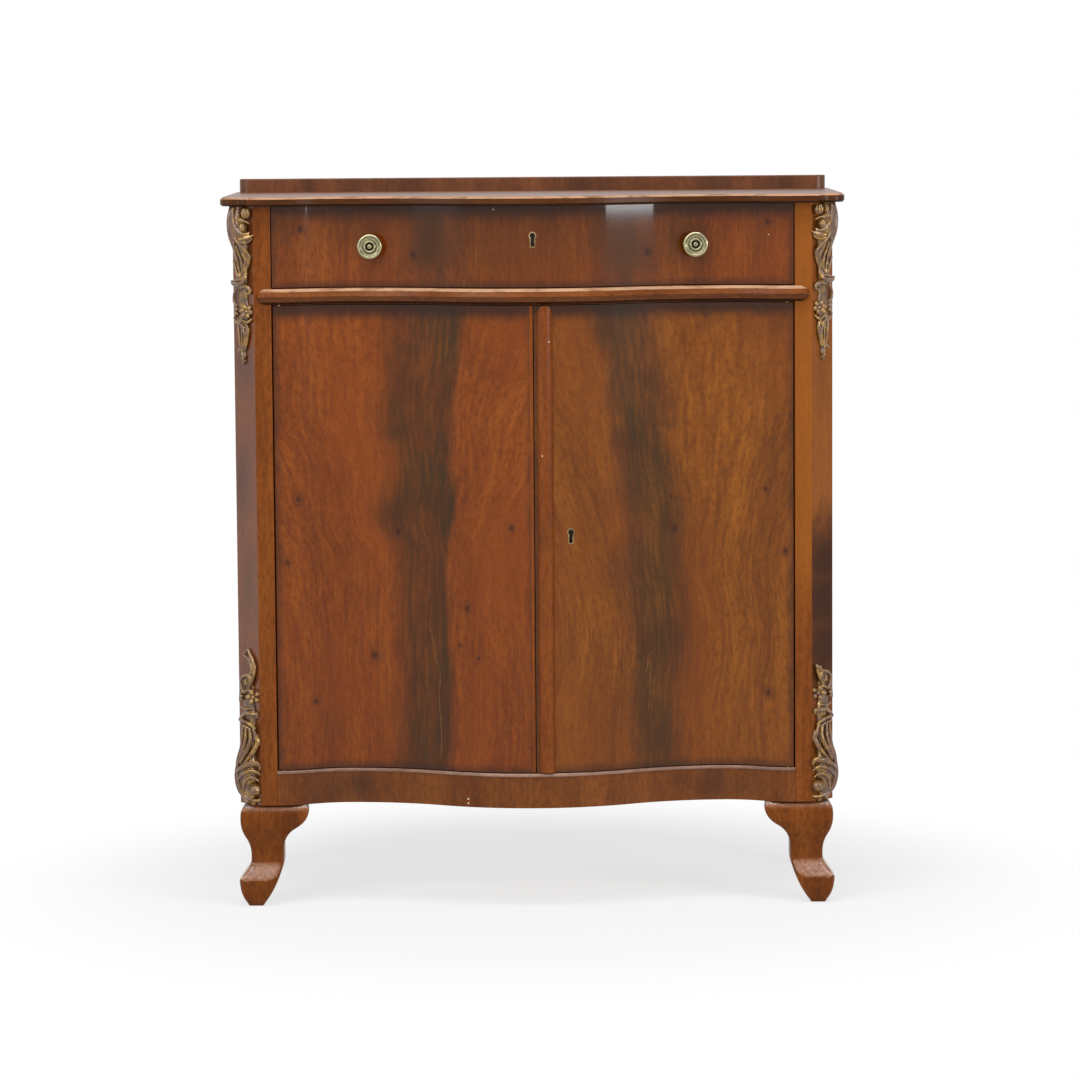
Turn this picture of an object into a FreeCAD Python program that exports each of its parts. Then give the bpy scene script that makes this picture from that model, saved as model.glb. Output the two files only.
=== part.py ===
import FreeCAD, Part
import math
import os
from FreeCAD import Vector

# Chiffonier with a serpentine front: one drawer over two doors, canted corners with carved consoles.
# Millimetres. Origin on the floor under the middle of the top board, X to the right, Y to the back,
# Z up. The front looks along -Y. Every piece is modelled where it stands in the closed piece.

# ------------------------------------------------------------------ driving dimensions
TOP_WIDTH = 1000.0
TOP_DEPTH = 460.0
TOP_THICKNESS = 14.0
TOP_OVERHANG = 22.0          # front edge ahead of the carcase front
TOP_HOLLOW_RADIUS = 24.0     # concave part of the cyma corner
TOP_EAR_RADIUS = 21.0        # convex part of the cyma corner
TOP_ARRIS = 3.0              # bevel above and below the nose
TOP_SIDE_OVERHANG = 18.5     # ends of the top beyond the sides

GALLERY_INSET = 7.0          # its ends from the ends of the top
GALLERY_HEIGHT = 22.0
GALLERY_THICKNESS = 20.0
GALLERY_END_ROUND = 17.0
GALLERY_TOP_ROUND = 2.0

STILE_WIDTH = 27.0
CANT_WIDTH = 35.5            # width and depth of the diagonal corner
POST_DEPTH = 48.0
POST_ARRIS = 1.5
SIDE_THICKNESS = 20.0
SIDE_TONGUE = 8.0
BACK_THICKNESS = 12.0
BACK_REBATE = 10.0
BACK_BOARDS = ("left", "middle", "right")
BACK_LAP = 10.0

FOOT_HEIGHT = 167.0
BOTTOM_RAIL_HEIGHT = 56.0
DOOR_OPENING_HEIGHT = 754.0
MID_RAIL_HEIGHT = 26.0
DRAWER_OPENING_HEIGHT = 132.0

BULGE = 47.0                 # middle of the serpentine ahead of the stiles
HOLLOW = 28.0                # hollow of the serpentine behind the stiles
HOLLOW_FROM_STILE = 114.0    # deepest place of the hollow from the stile's inner edge
SET_BACK = 3.0               # doors and drawer behind the carcase front
FIT_GAP = 1.5                # gap around doors and drawer front
RUN_GAP = 0.5                # drawer sides on runners, bolts in their guides
PIN_GAP = 0.05               # radial clearance of a hinge pin

BOTTOM_RAIL_DEPTH = 30.0
MID_RAIL_DEPTH = 60.0
TOP_RAIL_DEPTH = 50.0
TOP_RAIL_THICKNESS = 20.0
TENON_LENGTH = 10.0
TENON_THICKNESS = 12.0
TENON_INSET = 12.0           # tenon's front face behind the stile face
TENON_SHOULDER = 5.0

MOULDING_HEIGHT = 25.0
MOULDING_PROJECTION = 14.0
MOULDING_INSET = 3.5         # its ends from the stiles' outer arrises
MOULDING_SECTIONS = 5
MOULDING_SWEEP = 80.0        # half of the round section's turn, degrees
BEAD_HEIGHT = 5.0
BEAD_DEPTH = 3.5
BEAD_PROJECTION = 2.0
BEAD_ARRIS = 1.2

BOTTOM_THICKNESS = 18.0
BOTTOM_HOUSING = 5.0         # depth of the bottom board's grooves in the sides
DUST_THICKNESS = 10.0
DUST_TONGUE = 6.0
SHELF_THICKNESS = 18.0
SHELF_SET_BACK = 62.0        # straight shelf edge behind the stile face
SHELF_CLEAT_HEIGHT = 22.0
SHELF_CLEAT_WIDTH = 14.0
LOWER_SHELF_RISE = 247.0     # lower shelf above the bottom board
UPPER_SHELF_RISE = 252.0     # upper shelf above the lower one

RUNNER_SUPPORT = 24.0        # runner beyond the stile's inner edge, under the drawer side
RUNNER_GUIDE_HEIGHT = 20.0
STOP_LENGTH = 40.0
STOP_HEIGHT = 6.0
STOP_DEPTH = 12.0
STOP_FROM_STILE = 269.0

DRAWER_FRONT_THICKNESS = 24.0
DRAWER_LAP = 10.0            # thickness of the lip in front of the top rail
DRAWER_SIDE_THICKNESS = 12.0
DRAWER_BACK_GAP = 39.0       # from the drawer's back to the back boards
DRAWER_BOTTOM_THICKNESS = 7.0
DRAWER_BOTTOM_RISE = 8.0
DRAWER_GROOVE = 6.0
DOVETAILS = 4
DOVETAIL_LENGTH = 13.0
DOVETAIL_SLOPE = 0.16
DOVETAIL_SHARE = 0.42        # width of a tail at its root, of the pitch
DOVETAIL_ROOT = 5.0          # overlap of a tail with its side, for the fuse
DRAWER_BACK_DROP = 6.0       # top edge of the back below that of the sides

DOOR_THICKNESS = 22.0
DOOR_ARRIS = 2.0
LIPPING_WIDTH = 5.0
ASTRAGAL_WIDTH = 25.0
ASTRAGAL_PROJECTION = 9.0
ASTRAGAL_INSET = 5.0         # from the right door's meeting edge

KNOB_FROM_STILE = 158.0
KNOB_DIAMETER = 41.0
KNOB_STEM_DIAMETER = 12.0
KNOB_ROSE_DIAMETER = 19.0
KNOB_ROSE_INSET = 4.0
KNOB_ROSE_PROUD = 2.0
KNOB_STANDOFF = 13.0         # drawer front to the underside of the head
KNOB_HEAD_THICKNESS = 9.0
KNOB_RIM = 4.0
KNOB_DISH = 2.6              # depth of the ring turned in the head's face
KNOB_SCREW_DIAMETER = 6.0
NUT_WIDTH = 13.0
NUT_THICKNESS = 5.0
NUT_RECESS = 8.0             # depth of the nut's pocket in the drawer front
NUT_POCKET_DIAMETER = 21.0
THREAD_END = 1.0             # screw beyond the nut

KEYHOLE_RADIUS = 4.3
KEYHOLE_SLOT = 5.2
KEYHOLE_HEIGHT = 21.6
ESCUTCHEON_WALL = 1.9
ESCUTCHEON_DEPTH = 5.0
ESCUTCHEON_PROUD = 0.3
DRAWER_KEYHOLE_RISE = 11.0   # keyhole above the middle of the drawer front
DOOR_KEYHOLE_X = 58.0
DOOR_KEYHOLE_RISE = 383.0    # above the bottom board

DRAWER_LOCK_WIDTH = 70.0
DRAWER_LOCK_HEIGHT = 56.0
DOOR_LOCK_WIDTH = 76.0
DOOR_LOCK_HEIGHT = 56.0
LOCK_THICKNESS = 13.0
LOCK_WALL = 2.0
LOCK_COVER = 9.0             # wood left in front of the door lock's far end
LOCK_BOLT_WIDTH = 22.0
LOCK_BOLT_THICKNESS = 6.0
LOCK_BOLT_LENGTH = 30.0
LOCK_TRAVEL = 9.0
MORTISE_GAP = 1.0            # around a bolt in its mortise
STRIKE_THICKNESS = 1.5
STRIKE_MARGIN = 3.0          # strike plate beyond the bolt's mouth, front and back
STRIKE_END = 10.0            # and above and below it

HINGE_INSET = 10.0           # pivot from the door's outer edge
HINGE_BEHIND = 5.0           # pivot behind the door's face
HINGE_PIN_DIAMETER = 5.0
HINGE_LEAF_LENGTH = 34.0
HINGE_LEAF_WIDTH = 7.0
HINGE_LEAF_THICKNESS = 2.5

SLIDE_BOLT_X = 30.0          # left door's slide bolt from the middle
SLIDE_BOLT_WIDTH = 10.0
SLIDE_BOLT_THICKNESS = 4.0
SLIDE_BOLT_LENGTH = 90.0
SLIDE_BOLT_TRAVEL = 12.0
SLIDE_PLATE_WIDTH = 26.0
SLIDE_PLATE_THICKNESS = 2.0
SLIDE_LOOP_HEIGHT = 10.0
SLIDE_LOOP_WALL = 3.0
SLIDE_THUMB_DIAMETER = 8.0
SLIDE_THUMB_HEIGHT = 7.0

# A front foot has one outline on its front and its outer side. An inset is the depth of the outer
# edge behind the carcase's corner plane, a reach the distance of the inner edge from that plane.
FOOT_KNEE_ROLL = 9.0         # rounding of the knee's top edge under the rail
FOOT_KNEE_DROP = 25.0        # fullest place of the knee below the rail
FOOT_KNEE_INSET = 0.5
FOOT_ANKLE_Z = 82.0
FOOT_ANKLE_INSET = 17.0
FOOT_ANKLE_REACH = 70.0
FOOT_SPRING_Z = 70.0         # where the toe springs from the ankle
FOOT_TOE_Z = 44.0            # the toe's crisp upper arris
FOOT_TOE_INSET = -2.0
FOOT_TIP_INSET = 13.0
FOOT_TIP_REACH = 36.0
FOOT_BELLY = 4.0             # fullness of the toe's curves beyond their chords
FOOT_WING_REACH = 114.0      # bracket under the rail and under the side
FOOT_WING_Z = 92.0           # where its lower edge leaves the leg
FOOT_WING_THICKNESS = 34.0
FOOT_WING_TIP = 2.0          # thickness of the tip under the rail
FOOT_TOE_ROUND = 30.0        # rounding of the toe's sides in plan
FOOT_CORNER_ROUND = 13.0     # rounding of its outer corner in plan
REAR_FOOT_TOP = 44.0
REAR_FOOT_BOTTOM = 30.0
REAR_FOOT_INSET = 9.0
BLOCK_SIZE = 60.0            # glue blocks that the feet are fixed to

CONSOLE_HEIGHT = 255.0
CONSOLE_WIDTH = 46.0
CONSOLE_BULGE = 21.0
VOLUTE_RADIUS = 9.0
VOLUTE_DROP = 29.0           # middle of the volute below the console's end
VOLUTE_WIDTH = 39.0
VOLUTE_EYE_RADIUS = 4.5
VOLUTE_EYE_PROUD = 1.6
# Crests of a console's profile and of its outline, from its broad end to its tip: shares of the bulge
# or of the half width, and shares of the height.
CONSOLE_PROFILE = ((0.50, 0.0), (0.98, 0.15), (0.32, 0.39), (0.55, 0.465), (0.30, 0.53), (0.42, 0.62),
                   (0.12, 1.0))
CONSOLE_OUTLINE = ((0.80, 0.0), (1.0, 0.08), (0.78, 0.14), (0.98, 0.20), (0.56, 0.34), (0.76, 0.465),
                   (0.52, 0.53), (0.74, 0.60), (0.38, 0.78), (0.08, 1.0))

# ------------------------------------------------------------------ derived places
CASE_HALF = TOP_WIDTH / 2 - TOP_SIDE_OVERHANG
OPENING_HALF = CASE_HALF - CANT_WIDTH - STILE_WIDTH
HOLLOW_X = OPENING_HALF - HOLLOW_FROM_STILE
INNER_HALF = CASE_HALF - SIDE_THICKNESS
STILE_Y = -TOP_DEPTH / 2 + TOP_OVERHANG + BULGE
BACK_Y = TOP_DEPTH / 2
POST_BACK_Y = STILE_Y + POST_DEPTH
BACK_BOARD_Y = BACK_Y - BACK_THICKNESS
SHELF_FRONT_Y = STILE_Y + SHELF_SET_BACK

DOOR_FLOOR_Z = FOOT_HEIGHT + BOTTOM_RAIL_HEIGHT
MID_RAIL_Z = DOOR_FLOOR_Z + DOOR_OPENING_HEIGHT
DRAWER_FLOOR_Z = MID_RAIL_Z + MID_RAIL_HEIGHT
CASE_TOP_Z = DRAWER_FLOOR_Z + DRAWER_OPENING_HEIGHT
TOP_RAIL_Z = CASE_TOP_Z - TOP_RAIL_THICKNESS
CASE_HEIGHT = CASE_TOP_Z - FOOT_HEIGHT
TOP_Z = CASE_TOP_Z + TOP_THICKNESS

DOOR_LOW_Z = DOOR_FLOOR_Z + FIT_GAP
DOOR_HIGH_Z = MID_RAIL_Z - FIT_GAP
LOWER_SHELF_Z = DOOR_FLOOR_Z + LOWER_SHELF_RISE
UPPER_SHELF_Z = LOWER_SHELF_Z + UPPER_SHELF_RISE
DOOR_KEYHOLE_Z = DOOR_FLOOR_Z + DOOR_KEYHOLE_RISE
DOOR_EDGE_X = OPENING_HALF - FIT_GAP
MEETING_X = FIT_GAP / 2
PIVOT_X = DOOR_EDGE_X - HINGE_INSET
PIVOT_Y = STILE_Y + SET_BACK + HINGE_BEHIND
DRAWER_LOW_Z = DRAWER_FLOOR_Z + FIT_GAP
DRAWER_HIGH_Z = CASE_TOP_Z - FIT_GAP
DRAWER_BODY_TOP_Z = TOP_RAIL_Z - FIT_GAP
DRAWER_SIDE_X = OPENING_HALF - FIT_GAP
DRAWER_BACK_Y = BACK_BOARD_Y - DRAWER_BACK_GAP
KNOB_X = OPENING_HALF - KNOB_FROM_STILE
KNOB_Z = (DRAWER_LOW_Z + DRAWER_HIGH_Z) / 2
DRAWER_KEYHOLE_Z = KNOB_Z + DRAWER_KEYHOLE_RISE

SIDES = {"left": -1, "right": 1}
FAR = 2000.0                 # reach of cutting solids beyond the piece
NEAR = 1.0                   # the same where they must stay close
UP = Vector(0, 0, 1)


# ------------------------------------------------------------------ helpers
def box(x0, x1, y0, y1, z0, z1):
    return Part.makeBox(x1 - x0, y1 - y0, z1 - z0, Vector(x0, y0, z0))


def prism(points, direction):
    """Extrude the closed polygon through the points."""
    return Part.Face(Part.makePolygon(points + points[:1])).extrude(direction)


def on_side(shape, side):
    """Pieces are modelled on the right; the left one is the mirror image."""
    if side == "right":
        return shape
    return shape.mirror(Vector(0, 0, 0), Vector(1, 0, 0))


def s_curve(start, stop, lead):
    """Two equal arcs from one crest to the next; at both crests the curve runs along lead."""
    across = stop - start
    run = across.dot(lead)
    side = across - lead * run
    rise = side.Length
    radius = (run * run + rise * rise) / (4 * rise)
    turn = math.asin(run / 2 / radius) / 2
    step = lead * (radius * math.sin(turn)) + side * (radius * (1 - math.cos(turn)) / rise)
    middle = (start + stop) / 2
    return [Part.Arc(start, start + step, middle).toShape(), Part.Arc(middle, stop - step, stop).toShape()]


def wave(crests, lead):
    """Edges through all the crests."""
    edges = []
    for start, stop in zip(crests, crests[1:]):
        edges += s_curve(start, stop, lead)
    return edges


def closed_face(edges):
    return Part.Face(Part.Wire(Part.__sortEdges__(edges)))


def lines(points):
    return Part.makePolygon(points).Edges


def serpentine(offset, z):
    """Edges of the front's plan curve from stile to stile, moved back by the offset."""
    y = STILE_Y + offset
    crests = [Vector(-OPENING_HALF, y, z), Vector(-HOLLOW_X, y + HOLLOW, z), Vector(0, y - BULGE, z),
              Vector(HOLLOW_X, y + HOLLOW, z), Vector(OPENING_HALF, y, z)]
    return wave(crests, Vector(1, 0, 0))


def serpentine_slab(offset, depth, z0, z1):
    """Solid between the front curve moved back by offset and by offset + depth."""
    edges = serpentine(offset, z0) + serpentine(offset + depth, z0)
    for x in (-OPENING_HALF, OPENING_HALF):
        edges.append(Part.makeLine(Vector(x, STILE_Y + offset, z0), Vector(x, STILE_Y + offset + depth, z0)))
    return closed_face(edges).extrude(Vector(0, 0, z1 - z0))


def front_y(x):
    """Y of the front curve at the distance x from the middle."""
    probe = Part.makeLine(Vector(x, -FAR, 0), Vector(x, FAR, 0))
    return Part.Wire(serpentine(0, 0)).distToShape(probe)[1][0][0].y


def behind_front(shape, offset):
    """Cut the shape back to the front curve moved back by the offset."""
    low = shape.BoundBox.ZMin - NEAR
    high = shape.BoundBox.ZMax + NEAR
    return shape.cut(serpentine_slab(offset - TOP_DEPTH, TOP_DEPTH, low, high))


def cut_all(shape, tools):
    for tool in tools:
        shape = shape.cut(tool)
    return shape


def vertical_edges(shape, picks, tolerance=0.2):
    """Vertical edges that stand at one of the (x, y) places."""
    found = []
    for edge in shape.Edges:
        a, b = edge.Vertexes[0].Point, edge.Vertexes[-1].Point
        upright = abs(a.x - b.x) < tolerance and abs(a.y - b.y) < tolerance and abs(a.z - b.z) > tolerance
        if upright and any(abs(a.x - x) < tolerance and abs(a.y - y) < tolerance for x, y in picks):
            found.append(edge)
    return found


# ------------------------------------------------------------------ top
def top_outline():
    """Plan of the top board: serpentine front, cyma corners, straight sides and back."""
    half = TOP_WIDTH / 2
    front = STILE_Y - TOP_OVERHANG
    step_y = front + TOP_HOLLOW_RADIUS
    step_x = half - TOP_EAR_RADIUS
    corner_x = step_x - TOP_HOLLOW_RADIUS
    bend = math.sqrt(0.5)
    right = [
        Part.makeLine(Vector(OPENING_HALF, front, 0), Vector(corner_x, front, 0)),
        Part.Arc(Vector(corner_x, front, 0),
                 Vector(step_x - TOP_HOLLOW_RADIUS * bend, front + TOP_HOLLOW_RADIUS * bend, 0),
                 Vector(step_x, step_y, 0)).toShape(),
        Part.Arc(Vector(step_x, step_y, 0),
                 Vector(step_x + TOP_EAR_RADIUS * bend, step_y + TOP_EAR_RADIUS * (1 - bend), 0),
                 Vector(half, step_y + TOP_EAR_RADIUS, 0)).toShape(),
        Part.makeLine(Vector(half, step_y + TOP_EAR_RADIUS, 0), Vector(half, BACK_Y, 0)),
    ]
    left = [on_side(edge, "left") for edge in right]
    back = Part.makeLine(Vector(-half, BACK_Y, 0), Vector(half, BACK_Y, 0))
    return serpentine(-TOP_OVERHANG, 0) + [back] + right + left


def top_board():
    board = closed_face(top_outline()).extrude(Vector(0, 0, TOP_THICKNESS))
    nose = []
    for edge in board.Edges:
        flat = edge.BoundBox.ZLength < 0.01
        at_back = edge.BoundBox.YMin > BACK_Y - 0.01
        if flat and not at_back:
            nose.append(edge)
    board = board.makeChamfer(TOP_ARRIS, nose)
    board.translate(Vector(0, 0, CASE_TOP_Z))
    return board


def gallery_rail():
    half = TOP_WIDTH / 2 - GALLERY_INSET
    front = BACK_Y - GALLERY_THICKNESS
    rail = box(-half, half, front, BACK_Y, TOP_Z, TOP_Z + GALLERY_HEIGHT)
    rail = rail.makeFillet(GALLERY_END_ROUND, vertical_edges(rail, [(-half, front), (half, front)]))
    rim = [e for e in rail.Edges if e.BoundBox.ZMin > TOP_Z + 1 and e.BoundBox.YMin < BACK_Y - 0.01]
    return rail.makeFillet(GALLERY_TOP_ROUND, rim)


# ------------------------------------------------------------------ carcase
def front_post():
    x0, x1, x2 = OPENING_HALF, OPENING_HALF + STILE_WIDTH, CASE_HALF
    plan = [(x0, STILE_Y), (x1, STILE_Y), (x2, STILE_Y + CANT_WIDTH), (x2, POST_BACK_Y), (x0, POST_BACK_Y)]
    post = prism([Vector(x, y, FOOT_HEIGHT) for x, y in plan], Vector(0, 0, CASE_HEIGHT))
    return post.makeFillet(POST_ARRIS, vertical_edges(post, plan[:3]))


def side_panel():
    panel = box(INNER_HALF, CASE_HALF, POST_BACK_Y, BACK_Y, FOOT_HEIGHT, CASE_TOP_Z)
    third = SIDE_THICKNESS / 3
    tongue = box(INNER_HALF + third, CASE_HALF - third, POST_BACK_Y - SIDE_TONGUE, POST_BACK_Y,
                 FOOT_HEIGHT, CASE_TOP_Z)
    rebate = box(INNER_HALF, INNER_HALF + BACK_REBATE, BACK_BOARD_Y, BACK_Y, FOOT_HEIGHT, CASE_TOP_Z)
    return panel.fuse(tongue).cut(rebate).removeSplitter()


def back_boards():
    """Upright boards in the side panels' rebates, each lapped over the next one."""
    half = INNER_HALF + BACK_REBATE
    width = 2 * half / len(BACK_BOARDS)
    middle_y = BACK_BOARD_Y + BACK_THICKNESS / 2
    boards = {}
    for i, name in enumerate(BACK_BOARDS):
        x0 = -half + i * width
        x1 = x0 + width
        board = box(x0, x1, BACK_BOARD_Y, BACK_Y, FOOT_HEIGHT, CASE_TOP_Z)
        if i > 0:
            board = board.cut(box(x0, x0 + BACK_LAP, BACK_BOARD_Y, middle_y, FOOT_HEIGHT, CASE_TOP_Z))
        if i < len(BACK_BOARDS) - 1:
            tongue = box(x1, x1 + BACK_LAP, BACK_BOARD_Y, middle_y, FOOT_HEIGHT, CASE_TOP_Z)
            board = board.fuse(tongue).removeSplitter()
        boards["back_board_" + name] = board
    return boards


def tenoned(rail):
    """Give a rail between the posts a tenon at each end."""
    low = rail.BoundBox.ZMin + TENON_SHOULDER
    high = rail.BoundBox.ZMax - TENON_SHOULDER
    front = STILE_Y + TENON_INSET
    tenon = box(OPENING_HALF, OPENING_HALF + TENON_LENGTH, front, front + TENON_THICKNESS, low, high)
    for side in SIDES:
        rail = rail.fuse(on_side(tenon, side))
    return rail.removeSplitter()


def front_top_rail():
    offset = SET_BACK + DRAWER_LAP + FIT_GAP
    return tenoned(serpentine_slab(offset, TOP_RAIL_DEPTH, TOP_RAIL_Z, CASE_TOP_Z))


def mid_rail():
    return tenoned(serpentine_slab(0, MID_RAIL_DEPTH, MID_RAIL_Z, DRAWER_FLOOR_Z))


def bottom_rail():
    rail = tenoned(serpentine_slab(0, BOTTOM_RAIL_DEPTH, FOOT_HEIGHT, DOOR_FLOOR_Z))
    seat = serpentine_slab(-NEAR, BEAD_DEPTH + NEAR, DOOR_FLOOR_Z - BEAD_HEIGHT, DOOR_FLOOR_Z + NEAR)
    return rail.cut(seat)


def bottom_rail_bead():
    low = DOOR_FLOOR_Z - BEAD_HEIGHT
    bead = serpentine_slab(-BEAD_PROJECTION, BEAD_DEPTH + BEAD_PROJECTION, low, DOOR_FLOOR_Z)
    nose = []
    for edge in bead.Edges:
        middle = edge.valueAt((edge.FirstParameter + edge.LastParameter) / 2)
        in_front = middle.y < front_y(middle.x) - BEAD_PROJECTION / 2
        if in_front and edge.BoundBox.XLength > 1:
            nose.append(edge)
    return bead.makeChamfer(BEAD_ARRIS, nose)


def moulding_outline(projection, z):
    """Closed plan of the moulding at one height: over rail and stiles, ends turned back on the stiles."""
    turn_x = OPENING_HALF + STILE_WIDTH - MOULDING_INSET - MOULDING_PROJECTION
    y0 = STILE_Y - projection
    bend = projection * math.sqrt(0.5)
    right = [
        Part.makeLine(Vector(OPENING_HALF, y0, z), Vector(turn_x, y0, z)),
        Part.Arc(Vector(turn_x, y0, z), Vector(turn_x + bend, STILE_Y - bend, z),
                 Vector(turn_x + projection, STILE_Y, z)).toShape(),
        Part.makeLine(Vector(turn_x + projection, STILE_Y, z), Vector(OPENING_HALF, STILE_Y, z)),
    ]
    left = [on_side(edge, "left") for edge in right]
    edges = serpentine(-projection, z) + right + serpentine(0, z) + left
    return Part.Wire(Part.__sortEdges__(edges))


def mid_rail_moulding():
    """Half-round along the serpentine and over both stiles, lofted through its plan at several heights."""
    middle_z = (MID_RAIL_Z + DRAWER_FLOOR_Z) / 2
    wires = []
    for i in range(MOULDING_SECTIONS):
        angle = math.radians(-MOULDING_SWEEP + 2 * MOULDING_SWEEP * i / (MOULDING_SECTIONS - 1))
        z = middle_z + MOULDING_HEIGHT / 2 * math.sin(angle)
        wires.append(moulding_outline(MOULDING_PROJECTION * math.cos(angle), z))
    return Part.makeLoft(wires, True, True)


def bottom_board():
    low, high = DOOR_FLOOR_Z - BOTTOM_THICKNESS, DOOR_FLOOR_Z
    between = box(-OPENING_HALF, OPENING_HALF, STILE_Y - BULGE, BACK_BOARD_Y, low, high)
    housed = INNER_HALF + BOTTOM_HOUSING
    behind_posts = box(-housed, housed, POST_BACK_Y, BACK_BOARD_Y, low, high)
    return behind_front(between.fuse(behind_posts).removeSplitter(), BOTTOM_RAIL_DEPTH)


def dust_board():
    half = OPENING_HALF - RUNNER_SUPPORT
    low = (MID_RAIL_Z + DRAWER_FLOOR_Z - DUST_THICKNESS) / 2
    board = box(-half, half, STILE_Y - BULGE, BACK_BOARD_Y, low, low + DUST_THICKNESS)
    return behind_front(board, MID_RAIL_DEPTH - DUST_TONGUE)


def drawer_runner():
    """Runner under the drawer side with the guide beside it, worked from one piece."""
    x0 = OPENING_HALF - RUNNER_SUPPORT
    y0 = STILE_Y + HOLLOW + MID_RAIL_DEPTH
    runner = box(x0, INNER_HALF, y0, BACK_BOARD_Y, MID_RAIL_Z, DRAWER_FLOOR_Z)
    guide = box(OPENING_HALF, INNER_HALF, y0, BACK_BOARD_Y, DRAWER_FLOOR_Z,
                DRAWER_FLOOR_Z + RUNNER_GUIDE_HEIGHT)
    return runner.fuse(guide).removeSplitter()


def drawer_kicker():
    y0 = STILE_Y + SET_BACK + DRAWER_LAP + FIT_GAP + HOLLOW + TOP_RAIL_DEPTH
    return box(OPENING_HALF - RUNNER_SUPPORT, INNER_HALF, y0, BACK_BOARD_Y, TOP_RAIL_Z, CASE_TOP_Z)


def drawer_stops():
    """Two blocks on the mid rail, shaped to the back of the drawer front."""
    front_back = SET_BACK + DRAWER_FRONT_THICKNESS + RUN_GAP
    x = OPENING_HALF - STOP_FROM_STILE
    block = box(x - STOP_LENGTH / 2, x + STOP_LENGTH / 2, STILE_Y - BULGE,
                front_y(x) + front_back + STOP_DEPTH, DRAWER_FLOOR_Z, DRAWER_FLOOR_Z + STOP_HEIGHT)
    block = behind_front(block, front_back)
    return Part.makeCompound([on_side(block, side) for side in SIDES])


def shelf(top_z):
    return box(-INNER_HALF, INNER_HALF, SHELF_FRONT_Y, BACK_BOARD_Y, top_z - SHELF_THICKNESS, top_z)


def shelf_cleats():
    """One strip under each shelf, screwed to the side panel."""
    cleats = []
    for top_z in (LOWER_SHELF_Z, UPPER_SHELF_Z):
        high = top_z - SHELF_THICKNESS
        cleats.append(box(INNER_HALF - SHELF_CLEAT_WIDTH, INNER_HALF, SHELF_FRONT_Y, BACK_BOARD_Y,
                          high - SHELF_CLEAT_HEIGHT, high))
    return Part.makeCompound(cleats)


# ------------------------------------------------------------------ feet
def bowed(start, stop, belly):
    """Arc whose middle stands off the chord by belly, to the right of the way from start to stop."""
    chord = stop - start
    off = Vector(-chord.z, 0, chord.x).normalize() * belly
    return Part.Arc(start, (start + stop) / 2 + off, stop).toShape()


def foot_outline():
    """Front view of the right foot: rolled knee, ankle, toe, and the wing under the rail."""
    def at(inset, z):
        return Vector(CASE_HALF - inset, STILE_Y + min(FOOT_TOE_INSET, 0), z)

    down = Vector(0, 0, -1)
    roll = FOOT_KNEE_ROLL
    bend = roll * (1 - math.sqrt(0.5))
    knee_top = at(FOOT_KNEE_INSET + roll, FOOT_HEIGHT)
    knee_side = at(FOOT_KNEE_INSET, FOOT_HEIGHT - roll)
    knee, ankle = at(FOOT_KNEE_INSET, FOOT_HEIGHT - FOOT_KNEE_DROP), at(FOOT_ANKLE_INSET, FOOT_ANKLE_Z)
    toe, tip = at(FOOT_TOE_INSET, FOOT_TOE_Z), at(FOOT_TIP_INSET, 0)
    tip_back, spring_back = at(FOOT_TIP_REACH, 0), at(FOOT_ANKLE_REACH, FOOT_SPRING_Z)
    wing_low, wing_tip = at(FOOT_ANKLE_REACH, FOOT_WING_Z), at(FOOT_WING_REACH, FOOT_HEIGHT - FOOT_WING_TIP)
    edges = [Part.Arc(knee_top, at(FOOT_KNEE_INSET + bend, FOOT_HEIGHT - bend), knee_side).toShape()]
    edges += lines([knee_side, knee]) + s_curve(knee, ankle, down)
    edges += lines([ankle, at(FOOT_ANKLE_INSET, FOOT_SPRING_Z), toe])
    edges += [bowed(toe, tip, FOOT_BELLY)] + lines([tip, tip_back])
    edges += [bowed(tip_back, spring_back, FOOT_BELLY)] + lines([spring_back, wing_low])
    edges += s_curve(wing_low, wing_tip, -down)
    edges += lines([wing_tip, at(FOOT_WING_REACH, FOOT_HEIGHT), knee_top])
    return edges


def sawn_two_ways(outline, corner_y):
    """Foot sawn to one outline on its front and then, turned over, on its outer side."""
    inward = math.copysign(1, -corner_y)
    front = closed_face(outline).extrude(Vector(0, inward * TOP_DEPTH / 2, 0))
    diagonal = Vector(1, inward, 0)
    return front.common(front.mirror(Vector(CASE_HALF, corner_y, 0), diagonal))


def toe_plan():
    """Upright block with the toe's rounded plan."""
    x0, x1 = CASE_HALF - FOOT_ANKLE_REACH, CASE_HALF - FOOT_TOE_INSET
    y0, y1 = STILE_Y + FOOT_TOE_INSET, STILE_Y + FOOT_ANKLE_REACH
    block = box(x0, x1, y0, y1, 0, FOOT_SPRING_Z)
    block = block.makeFillet(FOOT_CORNER_ROUND, vertical_edges(block, [(x1, y0)]))
    return block.makeFillet(FOOT_TOE_ROUND, vertical_edges(block, [(x0, y0), (x1, y1)]))


def front_foot():
    """Cabriole foot on the corner, hollowed behind its two wings, with its toe rounded in plan."""
    foot = sawn_two_ways(foot_outline(), STILE_Y)
    leg_back, wing_back = FOOT_ANKLE_REACH, FOOT_WING_THICKNESS
    for x_from, y_from in ((leg_back, wing_back), (wing_back, leg_back)):
        foot = foot.cut(box(0, CASE_HALF - x_from, STILE_Y + y_from, BACK_Y, FOOT_SPRING_Z, FOOT_HEIGHT))
    below = box(0, TOP_WIDTH, -TOP_DEPTH, BACK_Y, 0, FOOT_SPRING_Z)
    return foot.cut(below).fuse(foot.common(toe_plan())).removeSplitter()


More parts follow.
